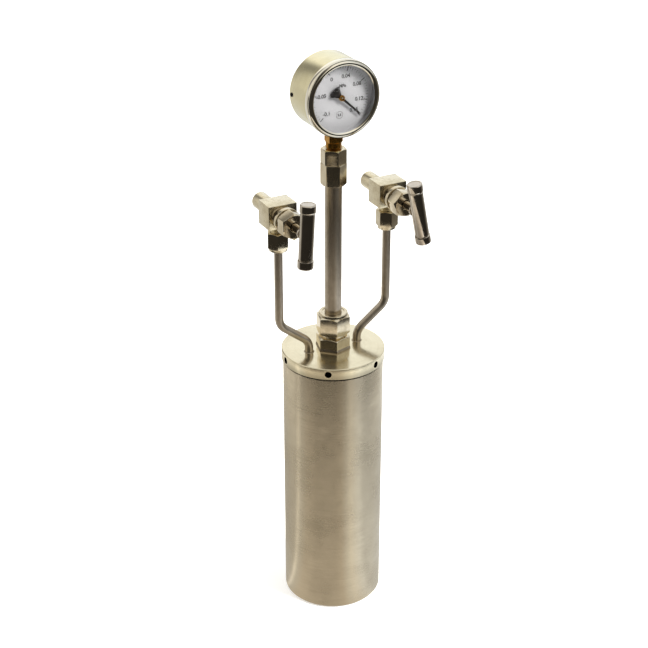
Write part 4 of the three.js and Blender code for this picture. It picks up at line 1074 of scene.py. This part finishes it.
def make_side_tube(name, side):
    """A tube bent inwards to the lid: an outer and an inner skin swept along it, joined at the ends."""
    low, high = span(f"{name}_side_tube")
    fall = (VALVE_X - SIDE_TUBE_LID_X) * tan(radians(SIDE_TUBE_SLOPE))
    corner_z = LID_TOP + SIDE_TUBE_RISE
    corners = [Vector((VALVE_X, high.z)), Vector((VALVE_X, corner_z + fall)),
               Vector((SIDE_TUBE_LID_X, corner_z)), Vector((SIDE_TUBE_LID_X, low.z))]
    centres = bent_line(corners, SIDE_TUBE_BEND)
    points, grain, faces = [], [], []
    around, length = 40, 0.0
    for i, (here, along) in enumerate(centres):
        length += (here - centres[i - 1][0]).length if i else 0
        out = Vector((-along.y, along.x))
        for radius in (SIDE_TUBE_R, SIDE_TUBE_R - SIDE_TUBE_WALL):
            for k in range(around):
                across, deep = radius * cos(TAU * k / around), radius * sin(TAU * k / around)
                spot = here + out * across
                points.append((side["x"] * spot.x, deep, spot.y))
                grain.append((across * MM, deep * MM, length * MM))
    steps = [(k, (k + 1) % around) for k in range(around)]
    for i in range(len(centres) - 1):
        for shell in (0, around):
            here, there = i * 2 * around + shell, (i + 1) * 2 * around + shell
            faces += [(here + a, here + b, there + b, there + a) for a, b in steps]
    for start in (0, (len(centres) - 1) * 2 * around):
        faces += [(start + a, start + b, start + around + b, start + around + a) for a, b in steps]
    tube = make(f"{name}_side_tube_bent", points, faces, upright(), 40)
    with_grain(tube, grain)
    dress(tube, "tube_steel", f"{name}_side_tube")


def bent_line(corners, bend):
    """Points along straight runs joined by round bends, each with its direction."""
    line = [(corners[0], (corners[1] - corners[0]).normalized())]
    for i in range(1, len(corners) - 1):
        before = (corners[i] - corners[i - 1]).normalized()
        after = (corners[i + 1] - corners[i]).normalized()
        turn = before.angle_signed(after)
        setback = bend * tan(abs(turn) / 2)
        start = corners[i] - before * setback
        centre = start + Vector((-before.y, before.x)) * copysign(bend, -turn)
        steps = 14
        for k in range(steps + 1):
            spin = Matrix.Rotation(-turn * k / steps, 2)
            line.append((centre + spin @ (start - centre), spin @ before))
    line.append((corners[-1], (corners[-1] - corners[-2]).normalized()))
    return line


# ---------- what the case and the nuts hide


INNER = {
    "brass": ("bourdon_tube", "bourdon_tip", "movement_back_plate", "movement_front_plate", "sector_gear",
              "link"),
    "polished_steel": ("hairspring", "pinion_arbor", "riser_ferrule", "left_ferrule", "right_ferrule",
                       "left_needle", "right_needle"),
    "copper": ("gauge_washer",),
    "ptfe": ("left_packing", "right_packing"),
}


def finish_inner_pieces():
    for finish, names in INNER.items():
        for name in names:
            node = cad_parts[name]
            node.data.materials.clear()
            node.data.materials.append(FINISHES[finish])


# ---------- studio


def make_floor():
    floor = revolve("floor", upright(z=-0.02), [(0, 0), (6000, 0), (6000, -5), (0, -5)], 96)
    look = Look("pale_floor")
    tone = look.mix(look.noise(look.place(), 30.0), (0.90, 0.90, 0.89), (0.88, 0.88, 0.87))
    look.give(Base_Color=tone, Roughness=0.9, Emission_Color=(1, 1, 1, 1), Emission_Strength=0.5)
    floor.data.materials.append(look.made)
    floor.visible_glossy = False


def make_paper():
    """A sheet round the pot that only its polished surfaces show. Its local -Y is the camera's side."""
    turned = Matrix.Rotation(-radians(CAMERA_HEADING), 4, "Z")
    disc = [(0, 0), (PAPER_RADIUS, 0), (PAPER_RADIUS, -1), (0, -1)]
    paper = revolve("paper_in_reflections", upright(z=-1) @ turned, disc, 96)
    look = Look("pale_paper")
    parts = look.parts(look.place())
    heading = look.maths("ARCTAN2", parts[0], look.maths("MULTIPLY", parts[1], -1.0))
    out = look.from_axis(parts)
    near = look.ramp(out, *PAPER_NEAR, start=PAPER_NEAR_GLOW)
    edge = look.maths("MULTIPLY", look.ramp(out, *PAPER_EDGE), PAPER_EDGE_GLOW)
    look.give(Base_Color=(0, 0, 0, 1), Emission_Color=look.band(heading, PAPER_BAND),
              Emission_Strength=look.maths("ADD", near, edge))
    paper.data.materials.append(look.made)
    for kind in ("camera", "diffuse", "transmission", "shadow"):
        setattr(paper, "visible_" + kind, False)


def make_surround():
    """A white world that lights the pot in soft bands, with a dim side behind the camera."""
    look = Look("studio", bpy.data.worlds, "Background")
    bpy.context.scene.world = look.made
    direction = look.node("TexCoord").outputs["Generated"]
    east, north = cos(radians(CAMERA_HEADING)), sin(radians(CAMERA_HEADING))
    sides = [look.node("VectorMath", {0: direction, 1: axis}, operation="DOT_PRODUCT").outputs["Value"]
             for axis in ((east, -north, 0), (-north, -east, 0))]
    heading = look.maths("ARCTAN2", *sides)
    height = look.parts(direction)[2]
    surround = look.band(heading, LOW_BAND)
    for stops, edge in ((MIDDLE_BAND, LOW_EDGE), (HIGH_BAND, HIGH_EDGE)):
        surround = look.mix(look.ramp(height, *edge), surround, look.band(heading, stops))
    seen = look.node("LightPath").outputs["Is Camera Ray"]
    look.give(Color=look.mix(seen, surround, (1, 1, 1)), Strength=1.0)


def make_key():
    lamp = bpy.data.lights.new("key", "AREA")
    lamp.shape = "RECTANGLE"
    lamp.size, lamp.size_y = KEY_SIZE
    lamp.energy = KEY_POWER
    lamp.color = (1.0, 0.97, 0.92)
    aim = Vector(KEY_AIM) - Vector(KEY_PLACE)
    key = link("key", lamp, Matrix.Translation(KEY_PLACE) @ aim.to_track_quat("-Z", "Y").to_matrix().to_4x4())
    key.visible_glossy = False


def make_camera():
    lens = bpy.data.cameras.new("camera")
    lens.lens = CAMERA_LENS
    lens.sensor_width = CAMERA_SENSOR
    heading, pitch = radians(CAMERA_HEADING), radians(CAMERA_PITCH)
    level = cos(pitch)
    direction = Vector((sin(heading) * level, cos(heading) * level, -sin(pitch)))
    turned = direction.to_track_quat("-Z", "Y").to_matrix().to_4x4()
    scene = bpy.context.scene
    scene.camera = link("camera", lens, Matrix.Translation(CAMERA_PLACE) @ turned)
    scene.view_settings.view_transform = "Standard"


make_camera()
make_floor()
make_paper()
make_surround()
make_key()
make_vessel()
make_lid()
make_riser()
make_socket()
make_case()
make_face()
make_print()
make_pointer()
for side_name, side_facts in SIDES.items():
    make_valve(side_name, side_facts)
finish_inner_pieces()
